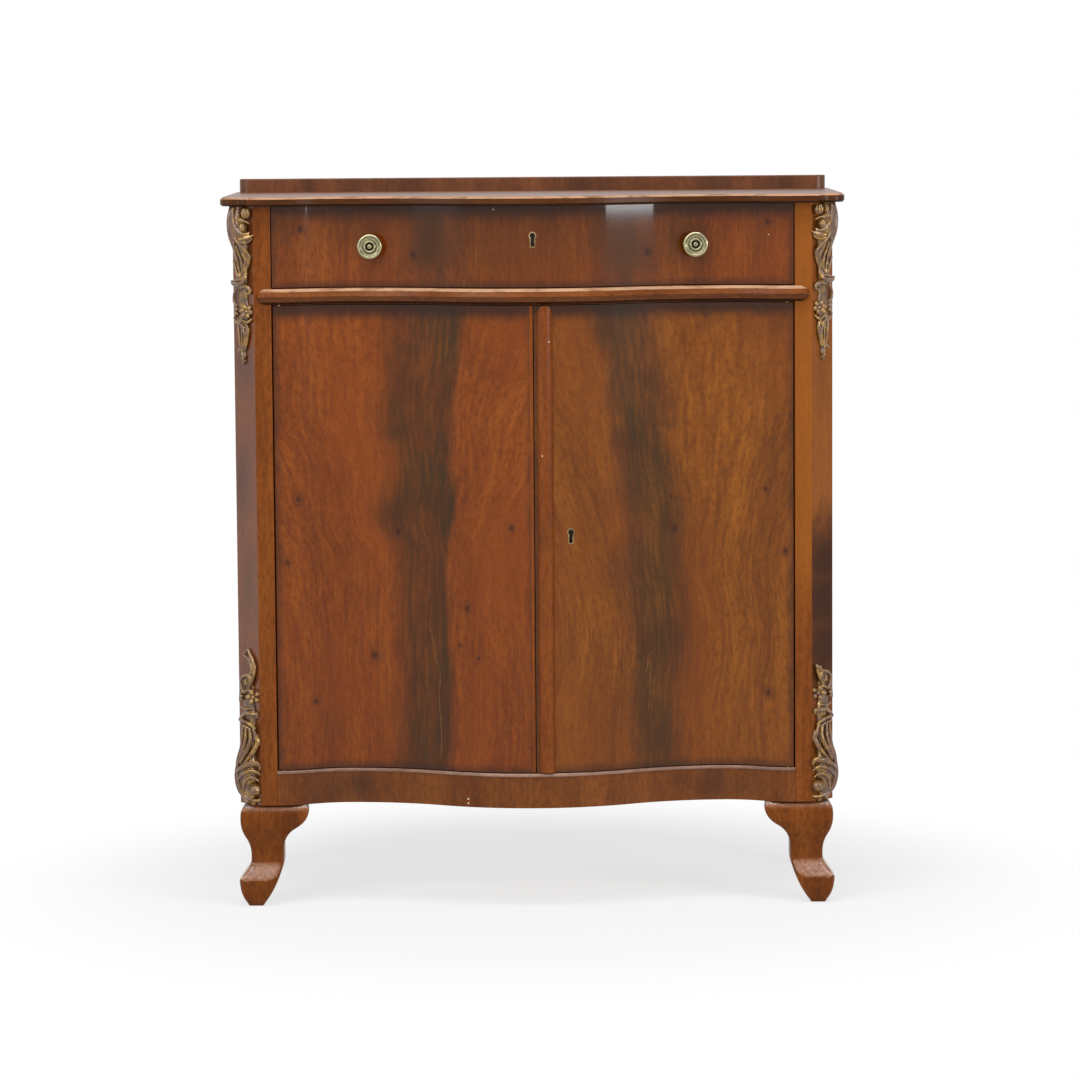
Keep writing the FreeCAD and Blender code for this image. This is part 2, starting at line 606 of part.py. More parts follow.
def rear_foot():
    """Plain foot at the back corner, tapered on its two inner sides."""
    widths = ((0, FOOT_HEIGHT), (REAR_FOOT_TOP, FOOT_HEIGHT), (REAR_FOOT_BOTTOM, 0), (0, 0), (0, FOOT_HEIGHT))
    points = [Vector(CASE_HALF - REAR_FOOT_INSET - width, BACK_Y, z) for width, z in widths]
    return sawn_two_ways(lines(points), BACK_Y)


def foot_blocks():
    """Glue blocks under the bottom board that take the dowels of the feet."""
    high = DOOR_FLOOR_Z - BOTTOM_THICKNESS
    blocks = []
    for side in SIDES:
        for y0 in (POST_BACK_Y, BACK_BOARD_Y - BLOCK_SIZE):
            block = box(INNER_HALF - BLOCK_SIZE, INNER_HALF, y0, y0 + BLOCK_SIZE, FOOT_HEIGHT, high)
            blocks.append(on_side(block, side))
    return Part.makeCompound(blocks)


# ------------------------------------------------------------------ carved consoles
def console():
    """Main form of a carved console, upright, back on the plane y = 0, top at z = 0.

    An S profile sawn through the width meets a scalloped front outline; a volute closes the top.
    """
    half = CONSOLE_WIDTH / 2
    down = Vector(0, 0, -1)
    crests = [Vector(-half, -p * CONSOLE_BULGE, -q * CONSOLE_HEIGHT) for p, q in CONSOLE_PROFILE]
    back = lines([crests[-1], Vector(-half, 0, -CONSOLE_HEIGHT), Vector(-half, 0, 0), crests[0]])
    blank = closed_face(wave(crests, down) + back).extrude(Vector(CONSOLE_WIDTH, 0, 0))
    crests = [Vector(p * half, 0, -q * CONSOLE_HEIGHT) for p, q in CONSOLE_OUTLINE]
    right = wave(crests, down)
    left = [on_side(edge, "left") for edge in right]
    ends = [Part.makeLine(Vector(-crest.x, 0, crest.z), crest) for crest in (crests[0], crests[-1])]
    body = blank.common(closed_face(right + left + ends).extrude(Vector(0, -2 * CONSOLE_BULGE, 0)))
    eye_width = VOLUTE_WIDTH + 2 * VOLUTE_EYE_PROUD
    for radius, width in ((VOLUTE_RADIUS, VOLUTE_WIDTH), (VOLUTE_EYE_RADIUS, eye_width)):
        start = Vector(-width / 2, -CONSOLE_BULGE / 2, -VOLUTE_DROP)
        body = body.fuse(Part.makeCylinder(radius, width, start, Vector(1, 0, 0)))
    return body.removeSplitter()


def place_console(shape, low_end):
    """Turn a console on the right canted corner, hanging from the top or, turned over, at the foot."""
    if low_end:
        shape = shape.mirror(Vector(0, 0, 0), UP)
    shape.rotate(Vector(0, 0, 0), UP, 45)
    x = CASE_HALF - CANT_WIDTH / 2
    z = FOOT_HEIGHT if low_end else CASE_TOP_Z
    shape.translate(Vector(x, STILE_Y + CANT_WIDTH / 2, z))
    return shape


# ------------------------------------------------------------------ locks and keyholes
def keyhole_prism(grow, depth):
    """Keyhole, cut along +Y from y = 0; its middle height is z = 0."""
    r = KEYHOLE_RADIUS + grow
    half_slot = KEYHOLE_SLOT / 2 + grow
    high = KEYHOLE_HEIGHT / 2 - KEYHOLE_RADIUS
    low = -KEYHOLE_HEIGHT / 2 - grow
    eye = Part.makeCylinder(r, depth, Vector(0, 0, high), Vector(0, 1, 0))
    slot = box(-half_slot, half_slot, 0, depth, low, high)
    return eye.fuse(slot).removeSplitter()


def escutcheon(x, y, z):
    ring = keyhole_prism(ESCUTCHEON_WALL, ESCUTCHEON_DEPTH).cut(keyhole_prism(0, ESCUTCHEON_DEPTH))
    ring.translate(Vector(x, y - ESCUTCHEON_PROUD, z))
    return ring


def keyhole_cut(x, y, z, lock):
    """Seat for the escutcheon and the passage behind it, into the middle of the lock."""
    proud = ESCUTCHEON_DEPTH
    seat = keyhole_prism(ESCUTCHEON_WALL, ESCUTCHEON_DEPTH + proud)
    seat.translate(Vector(0, -proud, 0))
    passage = keyhole_prism(0, lock.BoundBox.YMin + LOCK_THICKNESS / 2 - y)
    cut = seat.fuse(passage)
    cut.translate(Vector(x, y, z))
    return cut


def lock_parts(width, height):
    """Lock case and bolt, bolt pointing up, in a frame whose origin is the middle of the bolt edge.

    The case reaches down from z = 0 and back from y = 0 to LOCK_THICKNESS.
    """
    half = width / 2
    w = LOCK_WALL
    case = box(-half, half, 0, LOCK_THICKNESS, -height, 0)
    case = case.cut(box(-half + w, half - w, w, LOCK_THICKNESS - w, -height + w, -w))
    y0 = (LOCK_THICKNESS - LOCK_BOLT_THICKNESS) / 2
    y1 = y0 + LOCK_BOLT_THICKNESS
    bolt_half = LOCK_BOLT_WIDTH / 2
    g = RUN_GAP
    case = case.cut(box(-bolt_half - g, bolt_half + g, y0 - g, y1 + g, -w - 1, 1))
    bolt = box(-bolt_half, bolt_half, y0, y1, -LOCK_BOLT_LENGTH, 0)
    notch = box(-KEYHOLE_SLOT, KEYHOLE_SLOT, y0, y1, -LOCK_BOLT_LENGTH, -LOCK_BOLT_LENGTH + KEYHOLE_SLOT)
    return case, bolt.cut(notch)


def drawer_lock():
    case, bolt = lock_parts(DRAWER_LOCK_WIDTH, DRAWER_LOCK_HEIGHT)
    y = front_y(0) + SET_BACK + DRAWER_FRONT_THICKNESS - LOCK_THICKNESS
    for part in (case, bolt):
        part.translate(Vector(0, y, DRAWER_BODY_TOP_Z))
    return case.cut(keyhole_cut(0, front_y(0) + SET_BACK, DRAWER_KEYHOLE_Z, case)), bolt


def door_lock():
    case, bolt = lock_parts(DOOR_LOCK_HEIGHT, DOOR_LOCK_WIDTH)
    y = front_y(MEETING_X + DOOR_LOCK_WIDTH) + SET_BACK + LOCK_COVER
    for part in (case, bolt):
        part.rotate(Vector(0, 0, 0), Vector(0, 1, 0), -90)
        part.translate(Vector(MEETING_X, y, DOOR_KEYHOLE_Z))
    face = front_y(DOOR_KEYHOLE_X) + SET_BACK
    return case.cut(keyhole_cut(DOOR_KEYHOLE_X, face, DOOR_KEYHOLE_Z, case)), bolt


def grown(shape, margin):
    """Box around the shape, larger by the margin on every side."""
    b = shape.BoundBox
    b.enlarge(margin)
    return box(b.XMin, b.XMax, b.YMin, b.YMax, b.ZMin, b.ZMax)


def moved(shape, vector):
    shape = shape.copy()
    shape.translate(vector)
    return shape


# ------------------------------------------------------------------ hinges
def hinge_leaf(lift, below):
    """Knife-hinge leaf on the right, its round end at the pivot and its bar along the door."""
    far_x = PIVOT_X - HINGE_LEAF_LENGTH
    skew = math.degrees(math.atan2(front_y(far_x) - front_y(PIVOT_X), HINGE_LEAF_LENGTH))
    z = lift - HINGE_LEAF_THICKNESS if below else lift
    half = HINGE_LEAF_WIDTH / 2
    eye = Part.makeCylinder(half, HINGE_LEAF_THICKNESS, Vector(0, 0, z))
    bar = box(-HINGE_LEAF_LENGTH, 0, -half, half, z, z + HINGE_LEAF_THICKNESS)
    leaf = eye.fuse(bar).removeSplitter()
    leaf.rotate(Vector(0, 0, 0), UP, -skew)
    leaf.translate(Vector(PIVOT_X, PIVOT_Y, 0))
    return leaf


def hinge_pin(radius, z0, z1):
    return Part.makeCylinder(radius, z1 - z0, Vector(PIVOT_X, PIVOT_Y, z0))


def hinge_leaves():
    """Door leaves with pins and frame leaves with holes, one of each at the top and at the foot."""
    radius = HINGE_PIN_DIAMETER / 2
    leaf = HINGE_LEAF_THICKNESS
    upper_pin = hinge_pin(radius, DOOR_HIGH_Z - leaf, MID_RAIL_Z + leaf)
    lower_pin = hinge_pin(radius, DOOR_FLOOR_Z - leaf, DOOR_LOW_Z + leaf)
    door = [hinge_leaf(DOOR_HIGH_Z, True).fuse(upper_pin).removeSplitter(),
            hinge_leaf(DOOR_LOW_Z, False).fuse(lower_pin).removeSplitter()]
    hole = hinge_pin(radius + PIN_GAP, DOOR_FLOOR_Z - leaf, MID_RAIL_Z + leaf)
    frame = [hinge_leaf(MID_RAIL_Z, False).cut(hole), hinge_leaf(DOOR_FLOOR_Z, True).cut(hole)]
    return Part.makeCompound(door), Part.makeCompound(frame)


def pin_relief():
    """Room beyond the pin's ends in the rails."""
    radius = HINGE_PIN_DIAMETER / 2 + RUN_GAP
    deep = HINGE_LEAF_THICKNESS + RUN_GAP
    upper = hinge_pin(radius, MID_RAIL_Z, MID_RAIL_Z + deep)
    return [upper, hinge_pin(radius, DOOR_FLOOR_Z - deep, DOOR_FLOOR_Z)]


# ------------------------------------------------------------------ doors
def door_blank(x0, x1):
    slab = serpentine_slab(SET_BACK, DOOR_THICKNESS, DOOR_LOW_Z, DOOR_HIGH_Z)
    door = slab.common(box(x0, x1, -FAR, FAR, DOOR_LOW_Z, DOOR_HIGH_Z))
    outer = x1 if x1 > OPENING_HALF / 2 else x0
    edge = vertical_edges(door, [(outer, front_y(outer) + SET_BACK)], 1.0)
    return door.makeFillet(DOOR_ARRIS, edge)


def slide_bolt():
    """Bolt plate with its two loops, and the bolt, on the back of the left door at the top."""
    x = -SLIDE_BOLT_X
    y = front_y(x) + SET_BACK + DOOR_THICKNESS
    high = DOOR_HIGH_Z - RUN_GAP
    low = high - SLIDE_BOLT_LENGTH
    half = SLIDE_PLATE_WIDTH / 2
    plate = box(x - half, x + half, y - SLIDE_PLATE_THICKNESS, y, low + SLIDE_BOLT_TRAVEL, high)
    g = RUN_GAP
    bolt_half = SLIDE_BOLT_WIDTH / 2
    bar_y = y + g
    bolt = box(x - bolt_half, x + bolt_half, bar_y, bar_y + SLIDE_BOLT_THICKNESS, low, high)
    channel = box(x - bolt_half - g, x + bolt_half + g, y, bar_y + SLIDE_BOLT_THICKNESS + g, low, high)
    for z0 in (low + SLIDE_BOLT_TRAVEL, high - SLIDE_LOOP_HEIGHT):
        loop = box(x - bolt_half - SLIDE_LOOP_WALL, x + bolt_half + SLIDE_LOOP_WALL, y,
                   bar_y + SLIDE_BOLT_THICKNESS + SLIDE_LOOP_WALL, z0, z0 + SLIDE_LOOP_HEIGHT)
        plate = plate.fuse(loop.cut(channel))
    thumb_z = (low + high) / 2
    thumb = Part.makeCylinder(SLIDE_THUMB_DIAMETER / 2, SLIDE_THUMB_HEIGHT,
                              Vector(x, bar_y + SLIDE_BOLT_THICKNESS, thumb_z), Vector(0, 1, 0))
    return plate.removeSplitter(), bolt.fuse(thumb).removeSplitter()


def astragal():
    """Convex strip on the right door, rounded over at the top, flat at the foot."""
    x0 = MEETING_X + ASTRAGAL_INSET
    x1 = x0 + ASTRAGAL_WIDTH
    ya, yb = front_y(x0) + SET_BACK, front_y(x1) + SET_BACK
    start, stop = Vector(x0, ya, DOOR_LOW_Z), Vector(x1, yb, DOOR_LOW_Z)
    crown = Vector((x0 + x1) / 2, (ya + yb) / 2 - ASTRAGAL_PROJECTION, DOOR_LOW_Z)
    bow = Part.Arc(start, crown, stop).toShape()
    sink = Vector(0, DOOR_THICKNESS / 2, 0)
    back = Part.makePolygon([stop, stop + sink, start + sink, start])
    strip = Part.Face(Part.Wire([bow] + back.Edges)).extrude(Vector(0, 0, DOOR_HIGH_Z - DOOR_LOW_Z))
    door_face = serpentine_slab(SET_BACK, DOOR_THICKNESS, DOOR_LOW_Z - 1, DOOR_HIGH_Z + 1)
    strip = strip.cut(door_face)
    radius = ASTRAGAL_WIDTH / 2
    ahead = ya - 2 * radius
    arch_foot = Vector(crown.x, ahead, DOOR_HIGH_Z - radius)
    arch = Part.makeCylinder(radius, 4 * radius, arch_foot, Vector(0, 1, 0))
    above = box(x0, x1, ahead, ya + radius, DOOR_HIGH_Z - radius, DOOR_HIGH_Z)
    return strip.cut(above.cut(arch))


# ------------------------------------------------------------------ drawer
def drawer_front_blank():
    """Full front with the lip above the body, cut to the drawer opening."""
    half = DRAWER_SIDE_X
    lip = serpentine_slab(SET_BACK, DRAWER_LAP, DRAWER_LOW_Z, DRAWER_HIGH_Z)
    body = serpentine_slab(SET_BACK, DRAWER_FRONT_THICKNESS, DRAWER_LOW_Z, DRAWER_BODY_TOP_Z)
    opening = box(-half, half, -FAR, FAR, DRAWER_LOW_Z, DRAWER_HIGH_Z)
    return lip.fuse(body).removeSplitter().common(opening)


def dovetail(z, height):
    """One tail at the front end of the right drawer side, wider at its tip."""
    x0, x1 = DRAWER_SIDE_X - DRAWER_SIDE_THICKNESS, DRAWER_SIDE_X
    y1 = front_y(DRAWER_SIDE_X) + SET_BACK + DRAWER_FRONT_THICKNESS + DOVETAIL_ROOT
    y0 = y1 - DOVETAIL_ROOT - DOVETAIL_LENGTH
    flare = (y1 - y0) * DOVETAIL_SLOPE
    points = [Vector(x0, y0, z - height / 2 - flare), Vector(x0, y1, z - height / 2),
              Vector(x0, y1, z + height / 2), Vector(x0, y0, z + height / 2 + flare)]
    return prism(points, Vector(x1 - x0, 0, 0))


def drawer_side():
    low = DRAWER_FLOOR_Z + RUN_GAP
    high = DRAWER_BODY_TOP_Z - RUN_GAP
    side = box(DRAWER_SIDE_X - DRAWER_SIDE_THICKNESS, DRAWER_SIDE_X, STILE_Y, DRAWER_BACK_Y, low, high)
    side = behind_front(side, SET_BACK + DRAWER_FRONT_THICKNESS)
    below_front = box(0, TOP_WIDTH, -FAR, STILE_Y + HOLLOW + DRAWER_FRONT_THICKNESS, low, DRAWER_LOW_Z)
    side = side.cut(below_front)
    pitch = (high - low) / DOVETAILS
    for i in range(DOVETAILS):
        side = side.fuse(dovetail(low + (i + 0.5) * pitch, pitch * DOVETAIL_SHARE))
    return side.cut(drawer_bottom()).removeSplitter()


def drawer_back():
    inner = DRAWER_SIDE_X - DRAWER_SIDE_THICKNESS
    y0 = DRAWER_BACK_Y - DRAWER_SIDE_THICKNESS
    low = DRAWER_LOW_Z + DRAWER_BOTTOM_RISE + DRAWER_BOTTOM_THICKNESS
    return box(-inner, inner, y0, DRAWER_BACK_Y, low, DRAWER_BODY_TOP_Z - DRAWER_BACK_DROP)


def drawer_bottom():
    half = DRAWER_SIDE_X - DRAWER_SIDE_THICKNESS + DRAWER_GROOVE
    low = DRAWER_LOW_Z + DRAWER_BOTTOM_RISE
    board = box(-half, half, STILE_Y - BULGE, DRAWER_BACK_Y, low, low + DRAWER_BOTTOM_THICKNESS)
    return behind_front(board, SET_BACK + DRAWER_FRONT_THICKNESS - DRAWER_GROOVE)


def knob(x):
    """Turned brass knob: rose let into the drawer front, stem, ringed head, and the screw behind."""
    r = KNOB_DIAMETER / 2
    stem = KNOB_STEM_DIAMETER / 2
    rose = KNOB_ROSE_DIAMETER / 2
    face = KNOB_STANDOFF + KNOB_HEAD_THICKNESS
    floor = face - KNOB_DISH
    outline = [(0, -KNOB_ROSE_INSET), (rose, -KNOB_ROSE_INSET), (rose, KNOB_ROSE_PROUD),
               (stem, KNOB_ROSE_PROUD), (stem, KNOB_STANDOFF), (r, face - KNOB_RIM), (r, face),
               (r - KNOB_RIM, face), (r - KNOB_RIM, floor), (rose, floor), (rose, face), (0, face)]
    points = [Vector(a, -h, 0) for a, h in outline]
    head = Part.Face(Part.makePolygon(points + points[:1])).revolve(Vector(0, 0, 0), Vector(0, 1, 0), 360)
    y = knob_y(x)
    thread_end = nut_seat_y(x) + NUT_THICKNESS + THREAD_END
    screw = Part.makeCylinder(KNOB_SCREW_DIAMETER / 2, thread_end - y, Vector(0, 0, 0), Vector(0, 1, 0))
    shape = head.fuse(screw).removeSplitter()
    shape.translate(Vector(x, y, KNOB_Z))
    return shape


def knob_y(x):
    return front_y(x) + SET_BACK


def nut_seat_y(x):
    """Bottom of the pocket for the nut, from the back of the drawer front."""
    return front_y(x) + SET_BACK + DRAWER_FRONT_THICKNESS - NUT_RECESS


def knob_nut(x):
    half = NUT_WIDTH / 2
    y = nut_seat_y(x)
    nut = box(x - half, x + half, y, y + NUT_THICKNESS, KNOB_Z - half, KNOB_Z + half)
    hole = Part.makeCylinder(KNOB_SCREW_DIAMETER / 2, NUT_THICKNESS, Vector(x, y, KNOB_Z), Vector(0, 1, 0))
    return nut.cut(hole)


def nut_pocket(x):
    seat = Vector(x, nut_seat_y(x), KNOB_Z)
    return Part.makeCylinder(NUT_POCKET_DIAMETER / 2, DRAWER_FRONT_THICKNESS, seat, Vector(0, 1, 0))


# ------------------------------------------------------------------ assembly
def drawer_nodes():
    case, bolt = drawer_lock()
    front_face = front_y(0) + SET_BACK
    front = drawer_front_blank()
    side = drawer_side()
    knobs = {name: knob(sign * KNOB_X) for name, sign in SIDES.items()}
    nuts = [knob_nut(sign * KNOB_X) for sign in SIDES.values()]
    pockets = [nut_pocket(sign * KNOB_X) for sign in SIDES.values()]
    bottom = drawer_bottom()
    plate = escutcheon(0, front_face, DRAWER_KEYHOLE_Z)
    hole = keyhole_cut(0, front_face, DRAWER_KEYHOLE_Z, case)
    hardware = [grown(case, 0), hole] + list(knobs.values()) + pockets
    front = cut_all(front, [side, on_side(side, "left"), bottom] + hardware)
    nodes = {
        "drawer_front": front,
        "drawer_left_side": on_side(side, "left"),
        "drawer_right_side": side,
        "drawer_back": drawer_back(),
        "drawer_bottom": bottom,
        "left_drawer_knob": knobs["left"],
        "right_drawer_knob": knobs["right"],
        "drawer_knob_nuts": Part.makeCompound(nuts),
        "drawer_lock_case": case,
        "drawer_keyhole_escutcheon": plate,
        "drawer_lock_bolt": bolt,
    }
    return nodes


def door_nodes():
    lock_case, lock_bolt = door_lock()
    door_leaves, frame_leaves = hinge_leaves()
    plate, bolt = slide_bolt()
    strip = astragal()
    hole_y = front_y(DOOR_KEYHOLE_X) + SET_BACK
    lock_reach = moved(lock_bolt, Vector(-LOCK_TRAVEL, 0, 0))
    mortise = grown(lock_reach, MORTISE_GAP).common(box(-FAR, 0, -FAR, FAR, 0, FAR))

    right = door_blank(MEETING_X, DOOR_EDGE_X)
    hole = keyhole_cut(DOOR_KEYHOLE_X, hole_y, DOOR_KEYHOLE_Z, lock_case)
    right = cut_all(right, [door_leaves, grown(lock_case, 0), hole])

    left = door_blank(-DOOR_EDGE_X, -MEETING_X)
    edge = box(-MEETING_X - LIPPING_WIDTH, 0, -FAR, FAR, 0, FAR)
    reach = lock_reach.BoundBox
    strike = box(-MEETING_X - STRIKE_THICKNESS, -MEETING_X, reach.YMin - STRIKE_MARGIN,
                 reach.YMax + STRIKE_MARGIN, reach.ZMin - STRIKE_END, reach.ZMax + STRIKE_END)
    left_leaves = on_side(door_leaves, "left")
    lipping = cut_all(left.common(edge), [mortise, strike])
    left = cut_all(left.cut(edge), [mortise, left_leaves, plate, grown(bolt, RUN_GAP)])
    nodes = {
        "left_door": left,
        "left_door_lipping": lipping,
        "left_door_hinge_leaves": left_leaves,
        "left_door_bolt_plate": plate,
        "door_strike_plate": strike.cut(mortise),
        "left_door_bolt": bolt,
        "right_door": right,
        "door_astragal": strip,
        "right_door_hinge_leaves": door_leaves,
        "door_lock_case": lock_case,
        "door_keyhole_escutcheon": escutcheon(DOOR_KEYHOLE_X, hole_y, DOOR_KEYHOLE_Z),
        "door_lock_bolt": lock_bolt,
        "left_frame_hinge_leaves": on_side(frame_leaves, "left"),
        "right_frame_hinge_leaves": frame_leaves,
    }
    return nodes


def carcase_nodes(moving):
    frame_leaves = [moving["left_frame_hinge_leaves"], moving["right_frame_hinge_leaves"]]
    reliefs = [on_side(relief, side) for side in SIDES for relief in pin_relief()]
    drawer_mortise = grown(moved(moving["drawer_lock_bolt"], Vector(0, 0, LOCK_TRAVEL)), MORTISE_GAP)
    slide_mortise = grown(moved(moving["left_door_bolt"], Vector(0, 0, SLIDE_BOLT_TRAVEL)), MORTISE_GAP)
    top_rail = front_top_rail()
    middle = mid_rail()
    bottom = bottom_rail()
    board = bottom_board()
    dust = dust_board()
    post = cut_all(front_post(), [side_panel(), top_rail, middle, bottom])
    panel = side_panel().cut(board)
    nodes = {
        "top_board": top_board(),
        "gallery_rail": gallery_rail(),
        "front_top_rail": top_rail.cut(drawer_mortise),
        "mid_rail": cut_all(middle, frame_leaves + reliefs + [slide_mortise, dust]),
        "mid_rail_moulding": mid_rail_moulding(),
        "dust_board": dust,
        "drawer_stops": drawer_stops(),
        "bottom_rail": cut_all(bottom, frame_leaves + reliefs),
        "bottom_rail_bead": bottom_rail_bead(),
        "bottom_board": board,
        "upper_shelf": shelf(UPPER_SHELF_Z),
        "lower_shelf": shelf(LOWER_SHELF_Z),
        "foot_blocks": foot_blocks(),
    }
    nodes.update(back_boards())
    upper, lower = place_console(console(), False), place_console(console(), True)
    handed = {
        "{}_side_panel": panel,
        "{}_front_post": post,
        "{}_drawer_runner": drawer_runner(),
        "{}_drawer_kicker": drawer_kicker(),
        "{}_shelf_cleats": shelf_cleats(),
        "{}_front_foot": front_foot(),
        "{}_rear_foot": rear_foot(),
        "upper_{}_console": upper,
        "lower_{}_console": lower,
    }
    for side in SIDES:
        for pattern, shape in handed.items():
            nodes[pattern.format(side)] = on_side(shape, side)
    return nodes


def all_nodes():
    moving = dict(drawer_nodes())
    moving.update(door_nodes())
    nodes = carcase_nodes(moving)
    nodes.update(moving)
    return nodes


def main():
    os.makedirs("parts", exist_ok=True)
    for name, shape in all_nodes().items():
        shape.exportStep("parts/" + name + ".step")
        print(name, len(shape.Solids), round(shape.Volume / 1000, 1), shape.isValid())


main()
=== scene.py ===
import math

import bmesh
import bpy
from mathutils import Matrix, Vector


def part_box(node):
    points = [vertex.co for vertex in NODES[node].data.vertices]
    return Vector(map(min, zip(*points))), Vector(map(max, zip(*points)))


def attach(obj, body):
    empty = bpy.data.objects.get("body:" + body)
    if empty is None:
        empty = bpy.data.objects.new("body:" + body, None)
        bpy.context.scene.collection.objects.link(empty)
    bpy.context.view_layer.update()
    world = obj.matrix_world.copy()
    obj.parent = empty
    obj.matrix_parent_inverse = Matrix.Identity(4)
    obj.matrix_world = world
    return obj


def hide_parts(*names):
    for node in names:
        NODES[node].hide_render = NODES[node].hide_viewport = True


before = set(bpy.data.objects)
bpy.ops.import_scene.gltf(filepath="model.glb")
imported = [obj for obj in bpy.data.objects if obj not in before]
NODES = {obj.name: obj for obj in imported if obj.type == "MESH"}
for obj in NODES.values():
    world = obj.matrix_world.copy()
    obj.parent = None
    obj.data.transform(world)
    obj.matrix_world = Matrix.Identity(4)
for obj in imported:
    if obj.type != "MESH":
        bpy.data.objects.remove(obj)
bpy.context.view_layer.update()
MM = 0.001

# ---------------- places of the part
CASE_HALF = 481.5             # half the width over the canted corners
CANT = 35.5
STILE_Y = -161.0
FOOT_HEIGHT = 167.0
TOE_Z = 45.0                  # middle of the rubbed edge over the toe
CASE_TOP_Z = 1135.0
FRONT_HALF = 417.5            # half the width over both doors, and over the drawer front
MEETING_GAP = 0.75            # from the middle to the edge of either door
DOOR_LOW_Z, DOOR_HIGH_Z = 224.5, 975.5
DRAWER_LOW_Z, DRAWER_HIGH_Z = 1004.5, 1133.5


# ---------------- colours and nodes
def srgb(red, green, blue):
    """Linear colour from 0 to 255 display values."""
    def linear(value):
        value /= 255
        return value / 12.92 if value <= 0.04045 else ((value + 0.055) / 1.055) ** 2.4
    return (linear(red), linear(green), linear(blue), 1.0)


def palette(*colours):
    return [srgb(*colour) for colour in colours]


def dimmed(colour, share):
    return tuple(value * share for value in colour[:3]) + (1.0,)


class Nodes:
    """Short calls that add nodes to a tree. A value is a number, a colour or another node's output."""

    def __init__(self, tree):
        self.tree = tree

    def node(self, kind, *values, **settings):
        node = self.tree.nodes.new(kind)
        for name, value in settings.items():
            setattr(node, name, value)
        for socket, value in zip(node.inputs, values):
            self.put(socket, value)
        return node

    def put(self, socket, value):
        if isinstance(value, bpy.types.NodeSocket):
            self.tree.links.new(value, socket)
        elif value is not None:
            socket.default_value = value

    def math(self, operation, *values, clamp=False):
        return self.node("ShaderNodeMath", *values, operation=operation, use_clamp=clamp).outputs[0]

    def vector(self, operation, *values):
        return self.node("ShaderNodeVectorMath", *values, operation=operation).outputs[0]

    def add(self, first, second, clamp=False):
        return self.math("ADD", first, second, clamp=clamp)

    def less(self, first, second):
        return self.math("SUBTRACT", first, second)

    def times(self, first, second):
        return self.math("MULTIPLY", first, second)

    def scaled(self, value, factor, offset):
        return self.math("MULTIPLY_ADD", value, factor, offset)

    def size(self, value):
        return self.math("ABSOLUTE", value)

    def named(self, kind, **inputs):
        """First output of a node whose inputs are set by name."""
        node = self.node(kind)
        for name, value in inputs.items():
            self.put(node.inputs[name], value)
        return node.outputs[0]

    def step(self, value, start, stop, low=0.0, high=1.0):
        """Smooth change from low at the start to high at the stop."""
        return self.node("ShaderNodeMapRange", value, start, stop, low, high,
                         interpolation_type="SMOOTHSTEP").outputs[0]

    def fade(self, value, start, stop, high=1.0):
        return self.step(value, start, stop, high, 0.0)

    def step_linear(self, value, start, stop, low=0.0, high=1.0):
        return self.node("ShaderNodeMapRange", value, start, stop, low, high).outputs[0]

    def mix(self, factor, first, second):
        node = self.node("ShaderNodeMix", data_type="RGBA")
        for index, value in ((0, factor), (6, first), (7, second)):
            self.put(node.inputs[index], value)
        return node.outputs[2]

    def ramp(self, value, tones, stops=(0.36, 0.5, 0.64)):
        """Three tones that the value passes through at the stops."""
        node = self.node("ShaderNodeValToRGB", value)
        elements = node.color_ramp.elements
        elements[0].position, elements[0].color = stops[0], tones[0]
        elements[1].position, elements[1].color = stops[2], tones[2]
        elements.new(stops[1]).color = tones[1]
        return node.outputs[0]

    def curve(self, value, points, low, high):
        """A line given by points: value from points[0] to points[-1] gives lengths between low and high."""
        start, stop = points[0][0], points[-1][0]
        node = self.node("ShaderNodeFloatCurve", 1.0, self.step_linear(value, start, stop))
        line = node.mapping.curves[0].points
        spots = [((at - start) / (stop - start), (length - low) / (high - low)) for at, length in points]
        line[0].location, line[-1].location = spots[0], spots[-1]
        for spot in spots[1:-1]:
            line.new(*spot)
        node.mapping.update()
        return self.scaled(node.outputs[0], high - low, low)

    def relief(self):
        """Height over the smoothed surface, in millimetres, as the mesh carries it."""
        return self.node("ShaderNodeAttribute", attribute_name="relief").outputs["Fac"]

    def bump(self, height, strength, distance):
        return self.named("ShaderNodeBump", Strength=strength, Distance=distance, Height=height)

    def viewing_rays(self):
        """1 for a ray from the camera, a mirror or glass, 0 for one that gathers light."""
        path = self.node("ShaderNodeLightPath").outputs
        seen = self.math("MAXIMUM", path["Is Camera Ray"], path["Is Glossy Ray"])
        return self.math("MAXIMUM", seen, path["Is Transmission Ray"])


class Shade(Nodes):
    """A Principled material; its place is the point in the part's own frame."""

    def __init__(self, name, **uniform):
        self.material = bpy.data.materials.new(name)
        self.material.use_nodes = True
        super().__init__(self.material.node_tree)
        self.set(**uniform)
        self.place = self.node("ShaderNodeTexCoord").outputs["Object"]

    def set(self, **inputs):
        """Give inputs of the shader, named with _ for a space, a value or a link."""
        for name, value in inputs.items():
            self.put(self.tree.nodes["Principled BSDF"].inputs[name.replace("_", " ")], value)

    def stretched(self, scale, place=None):
        return self.vector("MULTIPLY", place or self.place, scale)

    def noise(self, place, scale, detail=2.0, roughness=0.5):
        """Noise at a place, or at the material's own place stretched by three factors."""
        if isinstance(place, tuple):
            place = self.stretched(place)
        return self.named("ShaderNodeTexNoise", Vector=place, Scale=scale, Detail=detail,
                          Roughness=roughness)

    def split(self, vector=None):
        return self.node("ShaderNodeSeparateXYZ", vector or self.place).outputs

    def upward(self):
        """Upward share of the surface's normal."""
        return self.split(self.node("ShaderNodeNewGeometry").outputs["Normal"])[2]

    def finish(self, colour, **inputs):
        self.set(Base_Color=colour, **inputs)
        return self.material


